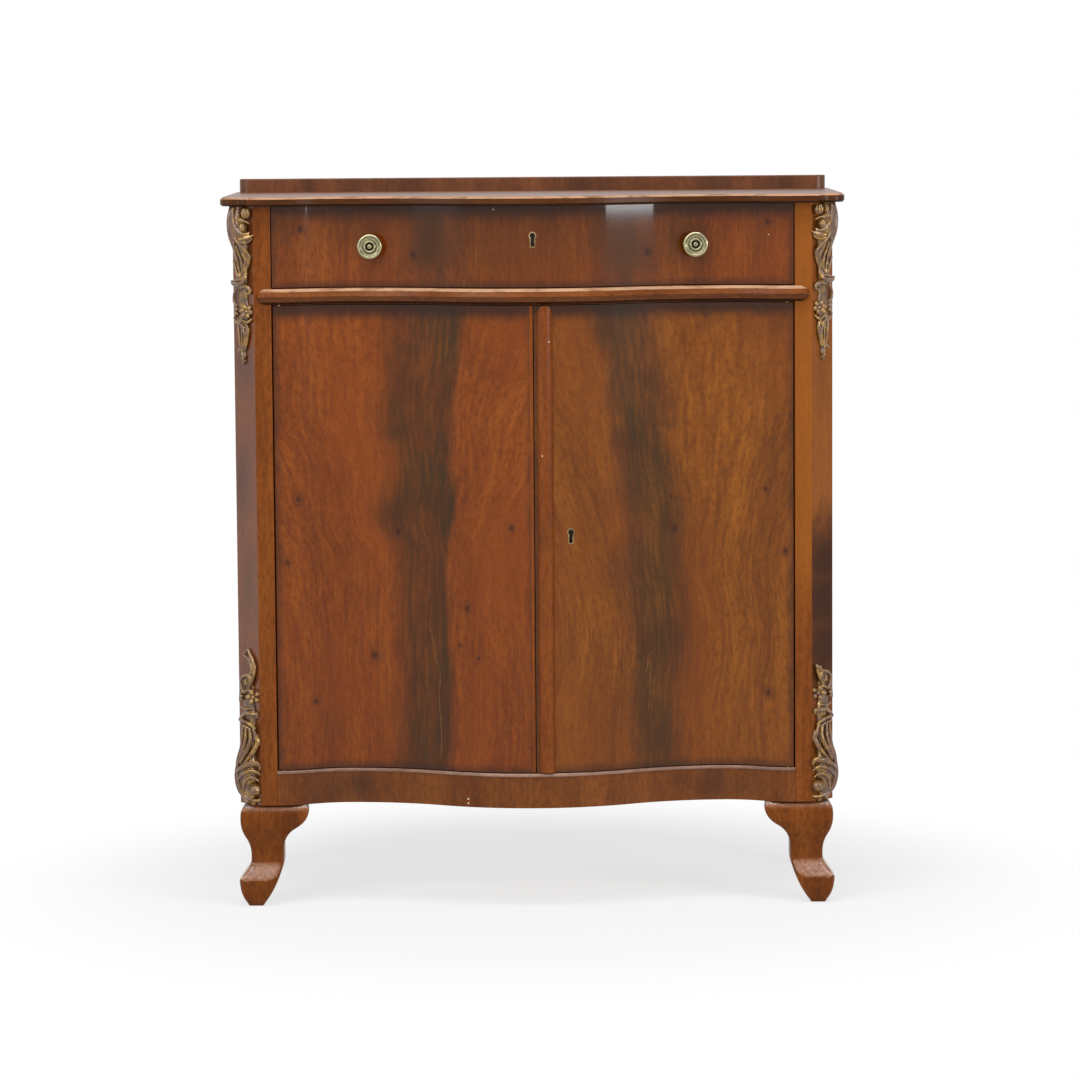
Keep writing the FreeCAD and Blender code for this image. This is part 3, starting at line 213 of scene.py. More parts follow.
# ---------------- timber
ALONG = {"x": (1.0, 12.0, 12.0), "y": (12.0, 1.0, 12.0), "z": (12.0, 12.0, 1.0)}
BLACK_BROWN = srgb(34, 16, 8)


def grain(shade, axis, seed, sweep=None):
    """Band, fibre and pore fields of timber whose grain runs along the axis."""
    place = sweep or shade.place
    moved = shade.vector("ADD", place, (seed, seed * 0.7, seed * 1.3))
    wander = shade.noise(moved, 2.5, 2.0)
    drift = shade.scaled(wander, 0.05, -0.025)
    drift = shade.node("ShaderNodeCombineXYZ", drift, drift, drift).outputs[0]
    moved = shade.vector("ADD", moved, drift)
    drawn = shade.stretched(ALONG[axis], moved)
    bands = shade.noise(drawn, 1.6, 3.0, 0.55)
    fibres = shade.noise(drawn, 14.0, 4.0, 0.65)
    pores = shade.noise(drawn, 85.0, 1.0, 0.5)
    return moved, bands, fibres, pores


def clouds(shade, spots, scale=40.0, edge=(0.1, 1.4)):
    """Ragged soft spots on an upright face, 0 to 1, at (x, z, half width, half height, depth)."""
    ragged = shade.scaled(shade.noise((1.0, 1.0, 0.5), scale, 3.0, 0.6), 1.6, 0.2)
    total = None
    for x, z, wide, high, depth in spots:
        near = shade.stretched((1 / (wide * MM), 0.0, 1 / (high * MM)))
        middle = (x / wide, 0.0, z / high)
        reach = shade.node("ShaderNodeVectorMath", near, middle, operation="DISTANCE").outputs[1]
        spot = shade.fade(shade.times(reach, ragged), *edge, depth)
        total = spot if total is None else shade.math("MAXIMUM", total, spot)
    return total


def knots(shade, colour, spots):
    """Small dark knots at (x, z, radius) with a brown halo round each."""
    halo = clouds(shade, [(x, z, r * 1.9, r * 2.4, 0.5) for x, z, r in spots], 90.0, (0.2, 1.3))
    core = clouds(shade, [(x, z, r * 0.8, r * 1.0, 0.7) for x, z, r in spots], 200.0, (0.2, 1.2))
    colour = shade.mix(halo, colour, srgb(78, 36, 12))
    return shade.mix(core, colour, BLACK_BROWN)


def darker_edges_and_top_shadow(shade, colour, frame_mm, reach, depth):
    """Darker along the edges of the rectangle (x0, x1, z0, z1), and painted shadow along its top, where the
    part above shades it.
    """
    x, _, z = shade.split()
    x0, x1, z0, z1 = [value * MM for value in frame_mm]
    edge = shade.math("MINIMUM", shade.less(x, x0), shade.less(x1, x))
    for value in (shade.less(z, z0), shade.less(z1, z)):
        edge = shade.math("MINIMUM", edge, value)
    ragged = shade.scaled(shade.noise(shade.place, 30.0, 3.0), reach * MM, -0.5 * reach * MM)
    near = shade.fade(shade.add(edge, ragged), 0.0, reach * MM, depth)
    # painted shadow: the top of the face darkens as if shaded by the moulding or top above it
    painted_top_shadow = shade.step(shade.add(z, ragged), z1 - 0.03, z1 - 0.006, 0.0, 0.85)
    return shade.mix(shade.math("MAXIMUM", near, painted_top_shadow), colour, srgb(48, 26, 14))


def figure(shade, colour, dark, spots, small=(), chips=(), frame_mm=None):
    """Clouds of dark heartwood, knots and flecks of pale paint over plain wood, with darker edges and
    painted shadow along the top.
    """
    colour = shade.mix(clouds(shade, spots), colour, dark)
    if small:
        colour = knots(shade, colour, small)
    # darker edges, and painted shadow along the top edge
    if frame_mm:
        colour = darker_edges_and_top_shadow(shade, colour, frame_mm, 16.0, 0.6)
    if chips:
        paint = clouds(shade, [(x, z, r, r, 0.9) for x, z, r in chips], 500.0, (0.6, 1.0))
        colour = shade.mix(paint, colour, srgb(222, 204, 172))
    return colour


def flecks(shade, colour, moved, low, along):
    """Short dark dashes and lighter glints along the grain."""
    drawn = shade.stretched(tuple(0.4 if reach == 1.0 else 1.0 for reach in along), moved)
    fleck = shade.noise(drawn, 210.0, 4.0, 0.7)
    colour = shade.mix(shade.step(fleck, 0.42, 0.7, 0.0, 0.5), colour, dimmed(low, 0.55))
    bright = tuple(min(c * 2.1 + 0.002, 1.0) for c in low[:3]) + (1.0,)
    return shade.mix(shade.fade(fleck, 0.28, 0.46, 0.28), colour, bright)


def timber(name, axis, tones, seed, roughness=0.32, **uniform):
    """Solid wood: three tones over the bands, finer fibres, dark pores, a mottle across the grain."""
    shade = Shade(name, **uniform)
    moved, bands, fibres, pores = grain(shade, axis, seed)
    blend = shade.add(shade.times(bands, 0.65), shade.times(fibres, 0.35))
    colour, low = shade.ramp(blend, tones), tones[0]
    mottle = shade.step(shade.noise(moved, 22.0, 2.0), 0.35, 0.7, 0.0, 0.15)
    colour = shade.mix(mottle, colour, low)
    colour = flecks(shade, colour, moved, low, ALONG[axis])
    holes = shade.step(pores, 0.62, 0.74)
    colour = shade.mix(shade.times(holes, 0.2), colour, dimmed(low, 0.3))
    shade.set(Roughness=shade.scaled(fibres, 0.16, roughness - 0.08),
              Normal=shade.bump(shade.less(fibres, holes), 0.15, 0.0003))
    return shade, colour


def timber_with_painted_light(*values, pale, depth, band, polish, shade_under, **settings):
    """Moulded timber: a painted highlight, pale and polished, where the upward normal lies in the band, and
    painted shade on its under side.
    """
    shade, colour = timber(*values, **settings)
    up = shade.upward()
    # painted highlight: the upward-facing band is painted pale, as where light from above falls
    painted_highlight_band = shade.times(shade.step(up, *band[:2]), shade.fade(up, *band[2:]))
    uneven = shade.noise((1.0, 4.0, 4.0), 24.0, 4.0, 0.6)
    painted_highlight_band = shade.times(painted_highlight_band, shade.step(uneven, 0.3, 0.55, 0.35, 1.0))
    colour = shade.mix(shade.times(painted_highlight_band, depth), colour, pale)
    # painted shade: faces that turn away from above are darkened towards black-brown
    colour = shade.mix(shade.step(up, *shade_under), colour, BLACK_BROWN)
    return shade.finish(colour, Coat_Weight=shade.times(painted_highlight_band, polish))


def foot_timber(*values, pale, lit, **settings):
    """Timber of the feet: pale along the arris of the toe, with a painted highlight where it rolls upwards
    and painted shadow at its top, under the rail.
    """
    shade, colour = timber(*values, **settings)
    relief = shade.relief()
    uneven = shade.noise(shade.place, 160.0, 3.0, 0.6)
    edge = shade.step(shade.add(relief, shade.scaled(uneven, 0.3, -0.15)), 0.25, 0.7)
    z = shade.split()[2]
    toe = shade.step(shade.size(shade.less(z, TOE_Z * MM)), 0.006, 0.014, 0.8, 0.1)
    up = shade.upward()
    # painted highlight on the upward-rolling surfaces, where light from above falls
    rolled = shade.times(shade.step(up, 0.12, 0.6), shade.step(uneven, 0.3, 0.6, 0.4, 1.0))
    colour = shade.mix(shade.times(rolled, 0.5), colour, lit)
    colour = shade.mix(shade.times(edge, toe), colour, pale)
    # painted shadow under the rail: the top few millimetres darken to black-brown
    colour = shade.mix(shade.step(z, 0.161, 0.1665, 0.0, 0.8), colour, BLACK_BROWN)
    return shade.finish(colour, Coat_Weight=rolled)


def board_timber(name, node, seed):
    """Old rough back board, darker along its own edges, with painted shadow along its top."""
    shade, colour = timber(name, "z", OLD_PINE, seed, 0.75)
    low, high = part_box(node)
    frame_mm = [value / MM for value in (low.x, high.x, low.z, high.z)]
    return shade.finish(darker_edges_and_top_shadow(shade, colour, frame_mm, 7.0, 0.8))


def plain_timber(*values, **settings):
    shade, colour = timber(*values, **settings)
    return shade.finish(colour)


def figured_timber(*values, dark, spots, chips=(), **settings):
    shade, colour = timber(*values, **settings)
    return shade.finish(figure(shade, colour, dark, spots, chips=chips))


POST_CLOUDS = [
    (-464, 880, 16, 44, 0.45), (-472, 690, 20, 70, 0.5), (-460, 520, 18, 80, 0.35),
    (-468, 380, 18, 60, 0.3), (470, 555, 60, 85, 0.9), (466, 495, 60, 110, 0.92),
    (466, 420, 60, 110, 0.9), (462, 860, 12, 60, 0.2)]


def post_timber(name):
    """Straight-grained stile, lighter on the right above mid-height; the canted corner beside it is darker
    on the left, lighter on the right with deep dark clouds low down, and polished brighter on the left.
    """
    shade, colour = timber(name, "z", MAHOGANY, 7.0, Specular_IOR_Level=0.12, Coat_Roughness=0.2)
    x, _, z = shade.split()
    arris = CASE_HALF - CANT
    canted = shade.step(shade.size(x), (arris - 0.5) * MM, (arris + 1.0) * MM)
    corner = shade.mix(shade.fade(x, -0.1, 0.1, 0.35), colour, srgb(104, 50, 20))
    corner = shade.mix(shade.step(x, -0.1, 0.1, 0.0, 0.5), corner, srgb(156, 92, 40))
    corner = figure(shade, corner, srgb(46, 22, 12), POST_CLOUDS)
    lighter = shade.times(shade.step(x, 0.1, 0.4), shade.step(z, 0.4, 0.6, 0.0, 0.75))
    colour = shade.mix(lighter, colour, shade.mix(0.6, colour, srgb(168, 98, 34)))
    return shade.finish(shade.mix(canted, colour, corner),
                        Coat_Weight=shade.times(canted, shade.fade(x, -0.1, 0.1)))


MAHOGANY = palette((104, 53, 18), (124, 65, 21), (143, 80, 30))
MAHOGANY_BROWN = palette((88, 48, 24), (104, 59, 32), (120, 70, 38))
ASTRAGAL = palette((104, 48, 9), (122, 59, 12), (136, 71, 18))
MOULDING = palette((96, 46, 8), (114, 58, 13), (132, 72, 22))
TOP = palette((84, 44, 12), (104, 56, 17), (122, 71, 26))
DARK_SIDE = palette((74, 34, 14), (98, 48, 20), (122, 62, 26))
STREAK = srgb(66, 36, 9)
STREAK_OLIVE = srgb(53, 38, 11)
PINE = palette((150, 112, 70), (178, 138, 92), (198, 160, 112))
OLD_PINE = palette((112, 84, 56), (142, 110, 76), (165, 132, 95))
STAINED = palette((60, 34, 22), (84, 48, 30), (100, 60, 38))
# bead paler all over: dust on it, and a painted highlight for the light its top catches
BEAD_DUST_AND_HIGHLIGHT = palette((118, 84, 66), (146, 112, 94), (170, 136, 118))
RAIL = palette((98, 50, 14), (116, 62, 20), (131, 74, 28))
FEET = palette((94, 46, 12), (120, 62, 17), (142, 78, 25))
DARK_BRASS = palette((28, 27, 17), (70, 66, 46), (158, 151, 118))
WORN_BRASS = palette((96, 78, 52), (140, 116, 80), (178, 150, 110))
INNER_BRASS = palette((120, 96, 56), (160, 132, 80), (196, 168, 110))
STEEL = palette((50, 46, 42), (78, 74, 69), (108, 103, 97))


def scratch(shade, colour, points):
    """Pale scratch along (z, x) points."""
    x, _, z = shade.split()
    low = min(at for _, at in points) - 4
    high = max(at for _, at in points) + 4
    line = shade.curve(z, [(at * MM, value * MM) for at, value in points], low * MM, high * MM)
    away = shade.size(shade.less(x, line))
    near = shade.fade(away, 0.2 * MM, 0.8 * MM, 0.32)
    start, stop = points[0][0] * MM, points[-1][0] * MM
    ends = shade.times(shade.step(z, start, start + 0.01), shade.fade(z, stop - 0.01, stop))
    broken = shade.step(shade.noise(shade.place, 140.0, 2.0), 0.4, 0.55, 0.3, 1.0)
    return shade.mix(shade.times(near, shade.times(ends, broken)), colour, srgb(176, 132, 84))


def veneer(name, tones, seed, crisp=None, soft=None, scratches=(), blur=0.014, **settings):
    """Crotch veneer: a dark flame from a crisp edge out to a soft one, both drawn as (z, x) points."""
    shade = Shade(name, Specular_IOR_Level=0.03, Coat_Weight=0.42, Coat_Roughness=0.055)
    x, y, z = shade.split()
    ragged = shade.noise((1.0, 1.0, 0.4), 22.0, 3.0, 0.55)
    x = shade.add(x, shade.scaled(ragged, 0.036, -0.018))
    sweep = depth = None
    if crisp:
        low = min(value for at, value in crisp + soft) - 5
        high = max(value for at, value in crisp + soft) + 5
        edges = [shade.curve(z, [(at * MM, value * MM) for at, value in points], low * MM, high * MM)
                 for points in (crisp, soft)]
        width = shade.less(edges[1], edges[0])
        share = shade.math("DIVIDE", shade.less(x, edges[0]), width)
        inside = shade.times(share, shade.size(width))
        patches = shade.noise((1.5, 1.0, 0.5), 15.0, 3.0, 0.6)
        patches = shade.step(patches, 0.32, 0.66, 0.62, 0.92)
        body = shade.times(shade.fade(share, 0.7, 1.35), patches)
        core = shade.fade(inside, 0.004, 0.04, 0.2)
        depth = shade.times(shade.add(body, core, clamp=True), shade.step(inside, -0.4 * blur, blur))
        middle = shade.times(shade.add(edges[0], edges[1]), 0.5)
        spread = shade.add(shade.step(z, 0.5, 0.98, 0.0, 0.7), 1.0)
        swept = shade.math("DIVIDE", shade.less(shade.split()[0], middle), spread)
        sweep = shade.node("ShaderNodeCombineXYZ", swept, y, z).outputs[0]
    moved, bands, fibres, pores = grain(shade, "z", seed, sweep)
    blend = shade.add(shade.times(bands, 0.5), shade.times(fibres, 0.5))
    colour = shade.ramp(blend, tones)
    colour = flecks(shade, colour, moved, tones[0], ALONG["z"])
    warm = shade.noise((1.0, 1.0, 0.5), 7.0, 3.0)
    colour = shade.mix(shade.step(warm, 0.4, 0.66, 0.0, 0.5), colour, tones[3])
    plain = shade.mix(0.5, colour, tones[0])
    if depth:
        lines = shade.step(fibres, 0.35, 0.65, 1.0, 0.72)
        olive = shade.step(shade.noise((1.4, 1.0, 0.6), 13.0, 3.0), 0.42, 0.6)
        dark = shade.mix(olive, STREAK, STREAK_OLIVE)
        colour = shade.mix(shade.times(depth, lines), colour, dark)
    colour = figure(shade, colour, STREAK, **settings)
    for points in scratches:
        colour = scratch(shade, colour, points)
    facing = shade.tree.nodes["Texture Coordinate"].outputs["Normal"]
    behind = shade.step(shade.split(facing)[1], -0.1, 0.3)
    colour = shade.mix(behind, colour, plain)
    holes = shade.step(pores, 0.62, 0.76)
    colour = shade.mix(shade.times(holes, 0.16), colour, srgb(56, 26, 8))
    normal = shade.bump(shade.less(fibres, holes), 0.08, 0.0002)
    return shade.finish(colour, Roughness=shade.scaled(fibres, 0.12, 0.24), Normal=normal)


def metal(name, tones, roughness):
    """Old metal: three tones of patina in clouds, fine scratches, uneven gloss."""
    shade = Shade(name, Metallic=1.0)
    cloud = shade.noise(shade.place, 60.0, 4.0, 0.65)
    fine = shade.noise((1.0, 6.0, 1.0), 720.0, 2.0, 0.6)
    colour = shade.ramp(shade.add(shade.times(cloud, 0.75), shade.times(fine, 0.25)), tones)
    rough = shade.scaled(cloud, 0.3, roughness - 0.15)
    return shade.finish(colour, Roughness=rough, Normal=shade.bump(fine, 0.1, 0.0002))


def turned_brass(name, tones):
    """Brass dark with patina in the turned grooves and rubbed pale on the rings."""
    shade = Shade(name, Metallic=1.0)
    relief = shade.relief()
    cloud = shade.noise(shade.place, 300.0, 4.0, 0.65)
    worn = shade.add(relief, shade.less(cloud, 0.5))
    colour = shade.ramp(shade.step_linear(worn, -1.2, 1.2), tones, (0.2, 0.5, 0.8))
    rough = shade.step(worn, -0.8, 0.8, 0.55, 0.26)
    return shade.finish(colour, Roughness=rough, Normal=shade.bump(cloud, 0.1, 0.0002))


def gilding(name):
    """Bronze gilding worn to brown wood, olive gold inside, dark with dirt and painted shade in the
    hollows, pale on ridges with wear and a painted highlight.
    """
    shade = Shade(name, Specular_IOR_Level=0.55, Coat_Weight=0.5, Coat_Roughness=0.15)
    relief = shade.relief()
    cloud = shade.noise(shade.place, 95.0, 4.0, 0.6)
    fine = shade.noise(shade.place, 1100.0, 3.0, 0.6)
    raised = shade.add(relief, shade.scaled(fine, 0.3, -0.15))
    ridge = shade.step(raised, 0.12, 0.55)
    # dirt and painted shade: the hollows darken almost to black
    hollow = shade.fade(raised, -0.65, 0.0)
    inner = shade.step(shade.size(shade.split()[0]), 0.466, 0.486, 1.0, 0.15)
    wood = shade.mix(cloud, srgb(76, 44, 24), srgb(116, 74, 48))
    gold = shade.mix(shade.step(cloud, 0.4, 0.62), srgb(122, 90, 30), srgb(156, 116, 50))
    laid = shade.times(inner, shade.step(cloud, 0.42, 0.6, 0.2, 0.95))
    colour = shade.mix(laid, wood, gold)
    # paler ridges: part wear, part painted highlight
    worn = shade.mix(inner, srgb(150, 114, 94), srgb(184, 148, 92))
    colour = shade.mix(shade.times(ridge, 0.6), colour, worn)
    # painted highlight: the highest ridges are painted pinkish white
    rubbed = shade.times(shade.step(raised, 0.4, 0.95, 0.0, 0.8), shade.step(cloud, 0.35, 0.6, 0.4, 1.0))
    colour = shade.mix(rubbed, colour, srgb(232, 214, 186))
    colour = shade.mix(shade.times(hollow, 0.92), colour, srgb(26, 14, 9))
    metallic = shade.times(laid, shade.fade(hollow, 0.0, 0.6, 0.5))
    return shade.finish(colour, Metallic=metallic, Roughness=shade.scaled(fine, 0.25, 0.16),
                        Normal=shade.bump(fine, 0.2, 0.0004))


LEFT_CRISP = [
    (218, -138), (330, -128), (420, -136), (520, -141), (590, -131), (680, -123), (740, -130),
    (800, -126), (860, -117), (980, -108)]
LEFT_SOFT = [
    (218, -222), (330, -218), (450, -216), (560, -212), (640, -246), (720, -226), (800, -243),
    (860, -232), (980, -222)]
RIGHT_CRISP = [
    (218, 160), (330, 156), (420, 158), (480, 154), (560, 142), (640, 136), (720, 132), (800, 128),
    (860, 114), (930, 100), (980, 88)]
RIGHT_SOFT = [
    (218, 236), (330, 228), (420, 246), (500, 242), (560, 228), (640, 232), (720, 222), (800, 216),
    (860, 206), (930, 192), (980, 176)]
LEFT_CLOUDS = [
    (-223, 770, 28, 16, 0.5), (-228, 636, 34, 26, 0.5), (-205, 660, 28, 20, 0.35),
    (-152, 660, 20, 28, 0.65), (-153, 497, 22, 70, 0.5), (-154, 334, 24, 90, 0.6),
    (-199, 904, 24, 14, 0.4), (-212, 839, 18, 28, 0.4), (-132, 936, 26, 20, 0.45),
    (-190, 560, 40, 60, 0.3), (-180, 260, 44, 50, 0.3), (-262, 500, 24, 36, 0.16),
    (-330, 290, 24, 40, 0.16), (-25, 380, 10, 80, 0.2)]
RIGHT_CLOUDS = [
    (140, 757, 34, 28, 0.5), (112, 944, 26, 40, 0.55), (126, 822, 20, 36, 0.4), (160, 676, 40, 44, 0.4),
    (213, 619, 20, 14, 0.4), (212, 432, 30, 44, 0.45), (170, 330, 30, 60, 0.5),
    (192, 272, 34, 36, 0.45), (214, 782, 36, 9, 0.3), (170, 860, 34, 12, 0.25),
    (392, 940, 26, 30, 0.35), (380, 700, 18, 60, 0.22), (150, 540, 44, 60, 0.3),
    (240, 560, 44, 60, 0.2), (60, 420, 30, 60, 0.16)]
LEFT_KNOTS = [
    (-398, 562, 5), (-260, 408, 8), (-356, 334, 5), (-110, 489, 5), (-220, 609, 6), (-121, 429, 3),
    (-91, 409, 3), (-380, 664, 5), (-37, 620, 5)]
RIGHT_KNOTS = [(226, 611, 6), (403, 575, 6), (376, 344, 6), (220, 663, 3), (373, 674, 4)]
DRAWER_CLOUDS = [
    (-20, 1070, 190, 90, 0.42), (-166, 1074, 54, 84, 0.95), (-118, 1084, 34, 80, 0.6),
    (-270, 1110, 70, 30, 0.4), (150, 1070, 64, 84, 0.85), (112, 1090, 40, 60, 0.7),
    (236, 1075, 44, 50, 0.6), (-60, 1120, 40, 20, 0.3), (-395, 1100, 20, 40, 0.45)]
RAIL_CLOUDS = [
    (-320, 190, 60, 40, 0.5), (-286, 196, 34, 34, 0.75), (-360, 190, 24, 34, 0.3),
    (-246, 196, 24, 20, 0.3), (288, 192, 40, 34, 0.65), (240, 200, 30, 20, 0.3),
    (340, 190, 40, 30, 0.35)]
GALLERY_CLOUDS = [
    (-376, 1160, 12, 30, 0.5), (-300, 1160, 26, 30, 0.4), (-210, 1160, 50, 30, 0.35),
    (80, 1160, 30, 30, 0.55), (110, 1160, 50, 30, 0.3), (310, 1160, 40, 30, 0.5),
    (420, 1160, 40, 30, 0.4)]
LEFT_SCRATCHES = [[
    (240, -154), (290, -153), (341, -156), (382, -154), (408, -162), (437, -166), (462, -174)]]
RIGHT_SCRATCHES = [[(374, 178), (397, 182), (417, 190)], [(310, 180), (356, 185), (404, 184)]]
# frames of the doors and drawer front: their edges darker, with painted shadow along the top
LEFT_FRAME = (-FRONT_HALF, -MEETING_GAP, DOOR_LOW_Z, DOOR_HIGH_Z)
RIGHT_FRAME = (MEETING_GAP, FRONT_HALF, DOOR_LOW_Z, DOOR_HIGH_Z)
DRAWER_FRAME = (-FRONT_HALF, FRONT_HALF, DRAWER_LOW_Z, DRAWER_HIGH_Z)
LEFT_TONES = palette((104, 46, 4), (125, 59, 5), (146, 76, 11), (124, 55, 6))
RIGHT_TONES = palette((100, 50, 5), (124, 66, 7), (146, 84, 15), (118, 56, 8))
DRAWER_TONES = palette((98, 45, 7), (118, 57, 9), (139, 73, 15), (119, 52, 9))


def dress(names, material):
    """Give CAD nodes their material; * in a name stands for left and right."""
    for name in names.split():
        for side in ("left", "right") if "*" in name else ("",):
            mesh = NODES[name.replace("*", side)].data
            mesh.materials.clear()
            mesh.materials.append(material)
    return material


# top and moulding: painted highlight on their upper rounding, painted shade beneath
dress("top_board", timber_with_painted_light(
    "mahogany_top", "x", TOP, 3.0, 0.3, Specular_IOR_Level=0.12, Coat_Roughness=0.12,
    pale=srgb(204, 158, 124), depth=0.75, band=(0.5, 0.65, 0.88, 0.97), polish=0.2,
    shade_under=(-0.35, 0.4, 0.85, 0.0)))
dress("mid_rail_moulding", timber_with_painted_light(
    "mahogany_moulding", "x", MOULDING, 5.0, 0.26, Specular_IOR_Level=0.2, Coat_Roughness=0.12,
    pale=srgb(218, 178, 142), depth=0.75, band=(0.45, 0.8, 1.1, 1.2), polish=0.6,
    shade_under=(-0.75, -0.1, 0.85, 0.0)))
# the bead's pale tones are dust and a painted highlight
dress("bottom_rail_bead", plain_timber("mahogany_bead", "x", BEAD_DUST_AND_HIGHLIGHT, 8.0, 0.4, Specular_IOR_Level=0.4))
dress("*_front_post", post_timber("mahogany_upright"))
dress("mid_rail bottom_rail front_top_rail", figured_timber(
    "mahogany_carcase", "z", RAIL, 9.0, Specular_IOR_Level=0.2, dark=srgb(62, 36, 20),
    spots=RAIL_CLOUDS, chips=[(-110, 180, 1.8), (-110, 173, 1.8)]))
dress("door_astragal left_door_lipping", figured_timber(
    "mahogany_astragal", "z", ASTRAGAL, 7.5, Specular_IOR_Level=0.2, dark=srgb(54, 26, 14),
    spots=[(13, 600, 10, 30, 0.3)], chips=[(3.7, 917, 1.8), (24.5, 918, 1.4), (13.3, 736, 1.4)]))
dress("gallery_rail", figured_timber(
    "mahogany_gallery", "z", MAHOGANY_BROWN, 10.0, Specular_IOR_Level=0.3, dark=srgb(66, 38, 22),
    spots=GALLERY_CLOUDS))
dress("*_side_panel", plain_timber("mahogany_sides", "z", DARK_SIDE, 11.0, Specular_IOR_Level=0.3))
FOOT_WOOD = dress("*_front_foot", foot_timber(
    "mahogany_feet", "z", FEET, 13.0, 0.3, Specular_IOR_Level=0.12, Coat_Roughness=0.16,
    lit=srgb(176, 128, 98), pale=srgb(214, 178, 150)))
dress("*_rear_foot", plain_timber("stained_softwood", "z", STAINED, 15.0, 0.6))
dress("foot_blocks", plain_timber("back_softwood", "z", OLD_PINE, 17.0, 0.75))
for side, seed in (("left", 17.0), ("middle", 23.5), ("right", 29.1)):
    board = "back_board_" + side
    dress(board, board_timber(board + "_pine", board, seed))
dress("drawer_*_side drawer_back drawer_bottom", plain_timber("drawer_softwood", "y", PINE, 19.0, 0.6))
dress("dust_board drawer_stops bottom_board upper_shelf lower_shelf *_drawer_runner *_drawer_kicker "
      "*_shelf_cleats", plain_timber("inner_softwood", "x", PINE, 21.0, 0.65))
GILDING = dress("upper_*_console lower_*_console", gilding("bronzed_carving"))
KNOB_BRASS = dress("*_drawer_knob", turned_brass("antique_brass", DARK_BRASS))
dress("drawer_keyhole_escutcheon door_keyhole_escutcheon", metal("escutcheon_brass", WORN_BRASS, 0.42))
dress("drawer_lock_case drawer_lock_bolt door_lock_case door_lock_bolt door_strike_plate",
      metal("lock_steel", STEEL, 0.45))
dress("*_frame_hinge_leaves *_door_hinge_leaves drawer_knob_nuts left_door_bolt left_door_bolt_plate",
      metal("fittings_brass", INNER_BRASS, 0.4))
dress("left_door", veneer(
    "veneer_left_door", LEFT_TONES, 2.0, LEFT_CRISP, LEFT_SOFT, LEFT_SCRATCHES,
    spots=LEFT_CLOUDS, small=LEFT_KNOTS, frame_mm=LEFT_FRAME))
dress("right_door", veneer(
    "veneer_right_door", RIGHT_TONES, 4.0, RIGHT_CRISP, RIGHT_SOFT, RIGHT_SCRATCHES, blur=0.03,
    spots=RIGHT_CLOUDS, small=RIGHT_KNOTS, frame_mm=RIGHT_FRAME))
dress("drawer_front", veneer(
    "veneer_drawer", DRAWER_TONES, 6.0, spots=DRAWER_CLOUDS, frame_mm=DRAWER_FRAME,
    small=[(-372, 1098, 7), (-191, 1056, 8), (376, 1104, 6), (184, 1058, 9)],
    chips=[(-62, 1128, 1.4), (378, 1084, 1.2)]))


# ---------------- meshes
def placed(name, data):
    thing = bpy.data.objects.new(name, data)
    bpy.context.scene.collection.objects.link(thing)
    return thing


def new_piece(name, mesh, material, body, replaced):
    """Link a finished mesh in as a piece that rides on its body in place of a CAD node."""
    mesh.polygons.foreach_set("use_smooth", [True] * len(mesh.polygons))
    mesh.materials.clear()
    mesh.materials.append(material)
    piece = placed(name, mesh)
    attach(piece, body)
    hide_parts(replaced)


def worked(mesh, *modifiers, group=None):
    """Mesh with the modifiers (kind, settings) applied in turn."""
    scrap = placed("scrap", mesh)
    if group:
        soft = scrap.vertex_groups.new(name="soft")
        for vertex in mesh.vertices:
            soft.add([vertex.index], group(vertex.co), "REPLACE")
    for kind, settings in modifiers:
        modifier = scrap.modifiers.new(kind, kind)
        for name, value in settings.items():
            setattr(modifier, name, value)
    found = scrap.evaluated_get(bpy.context.evaluated_depsgraph_get())
    result = bpy.data.meshes.new_from_object(found)
    bpy.data.objects.remove(scrap)
    return result


def voxels(size):
    return "REMESH", {"mode": "VOXEL", "voxel_size": size}


def rubbing(iterations, factor=0.6, **settings):
    return "SMOOTH", {"factor": factor, "iterations": iterations, **settings}


def heights_over(mesh, iterations):
    """Height of each vertex over a rubbed copy of the mesh."""
    even = worked(mesh.copy(), rubbing(iterations))
    pairs = zip(mesh.vertices, even.vertices)
    return [(vertex.co - other.co).dot(vertex.normal) for vertex, other in pairs]


def note_relief(mesh, heights):
    """Give the materials one height a vertex, in millimetres."""
    mesh.attributes.new("relief", "FLOAT", "POINT").data.foreach_set("value", heights)


def share_of(value):
    return min(max(value, 0.0), 1.0)


def circle(count):
    return [2 * math.pi * k / count for k in range(count)]


def spline(points, steps):
    """Catmull-Rom line through points of any dimension."""
    ends = [points[0]] + list(points) + [points[-1]]
    found = []
    for a, b, c, d in zip(ends, ends[1:], ends[2:], ends[3:]):
        for i in range(steps):
            t = i / steps
            found.append(tuple(
                0.5 * (2 * q + (r - p) * t + (2 * p - 5 * q + 4 * r - s) * t * t
                       + (3 * q - p - 3 * r + s) * t ** 3) for p, q, r, s in zip(a, b, c, d)))
    return found + [tuple(points[-1])]


def loft(bm, rings):
    """Skin over closed rings of points, ends capped."""
    made = [[bm.verts.new(p) for p in ring] for ring in rings]
    count = len(made[0])
    for low, high in zip(made, made[1:]):
        for k in range(count):
            bm.faces.new((low[k], low[(k + 1) % count], high[(k + 1) % count], high[k]))
    bm.faces.new(reversed(made[0]))
    bm.faces.new(made[-1])


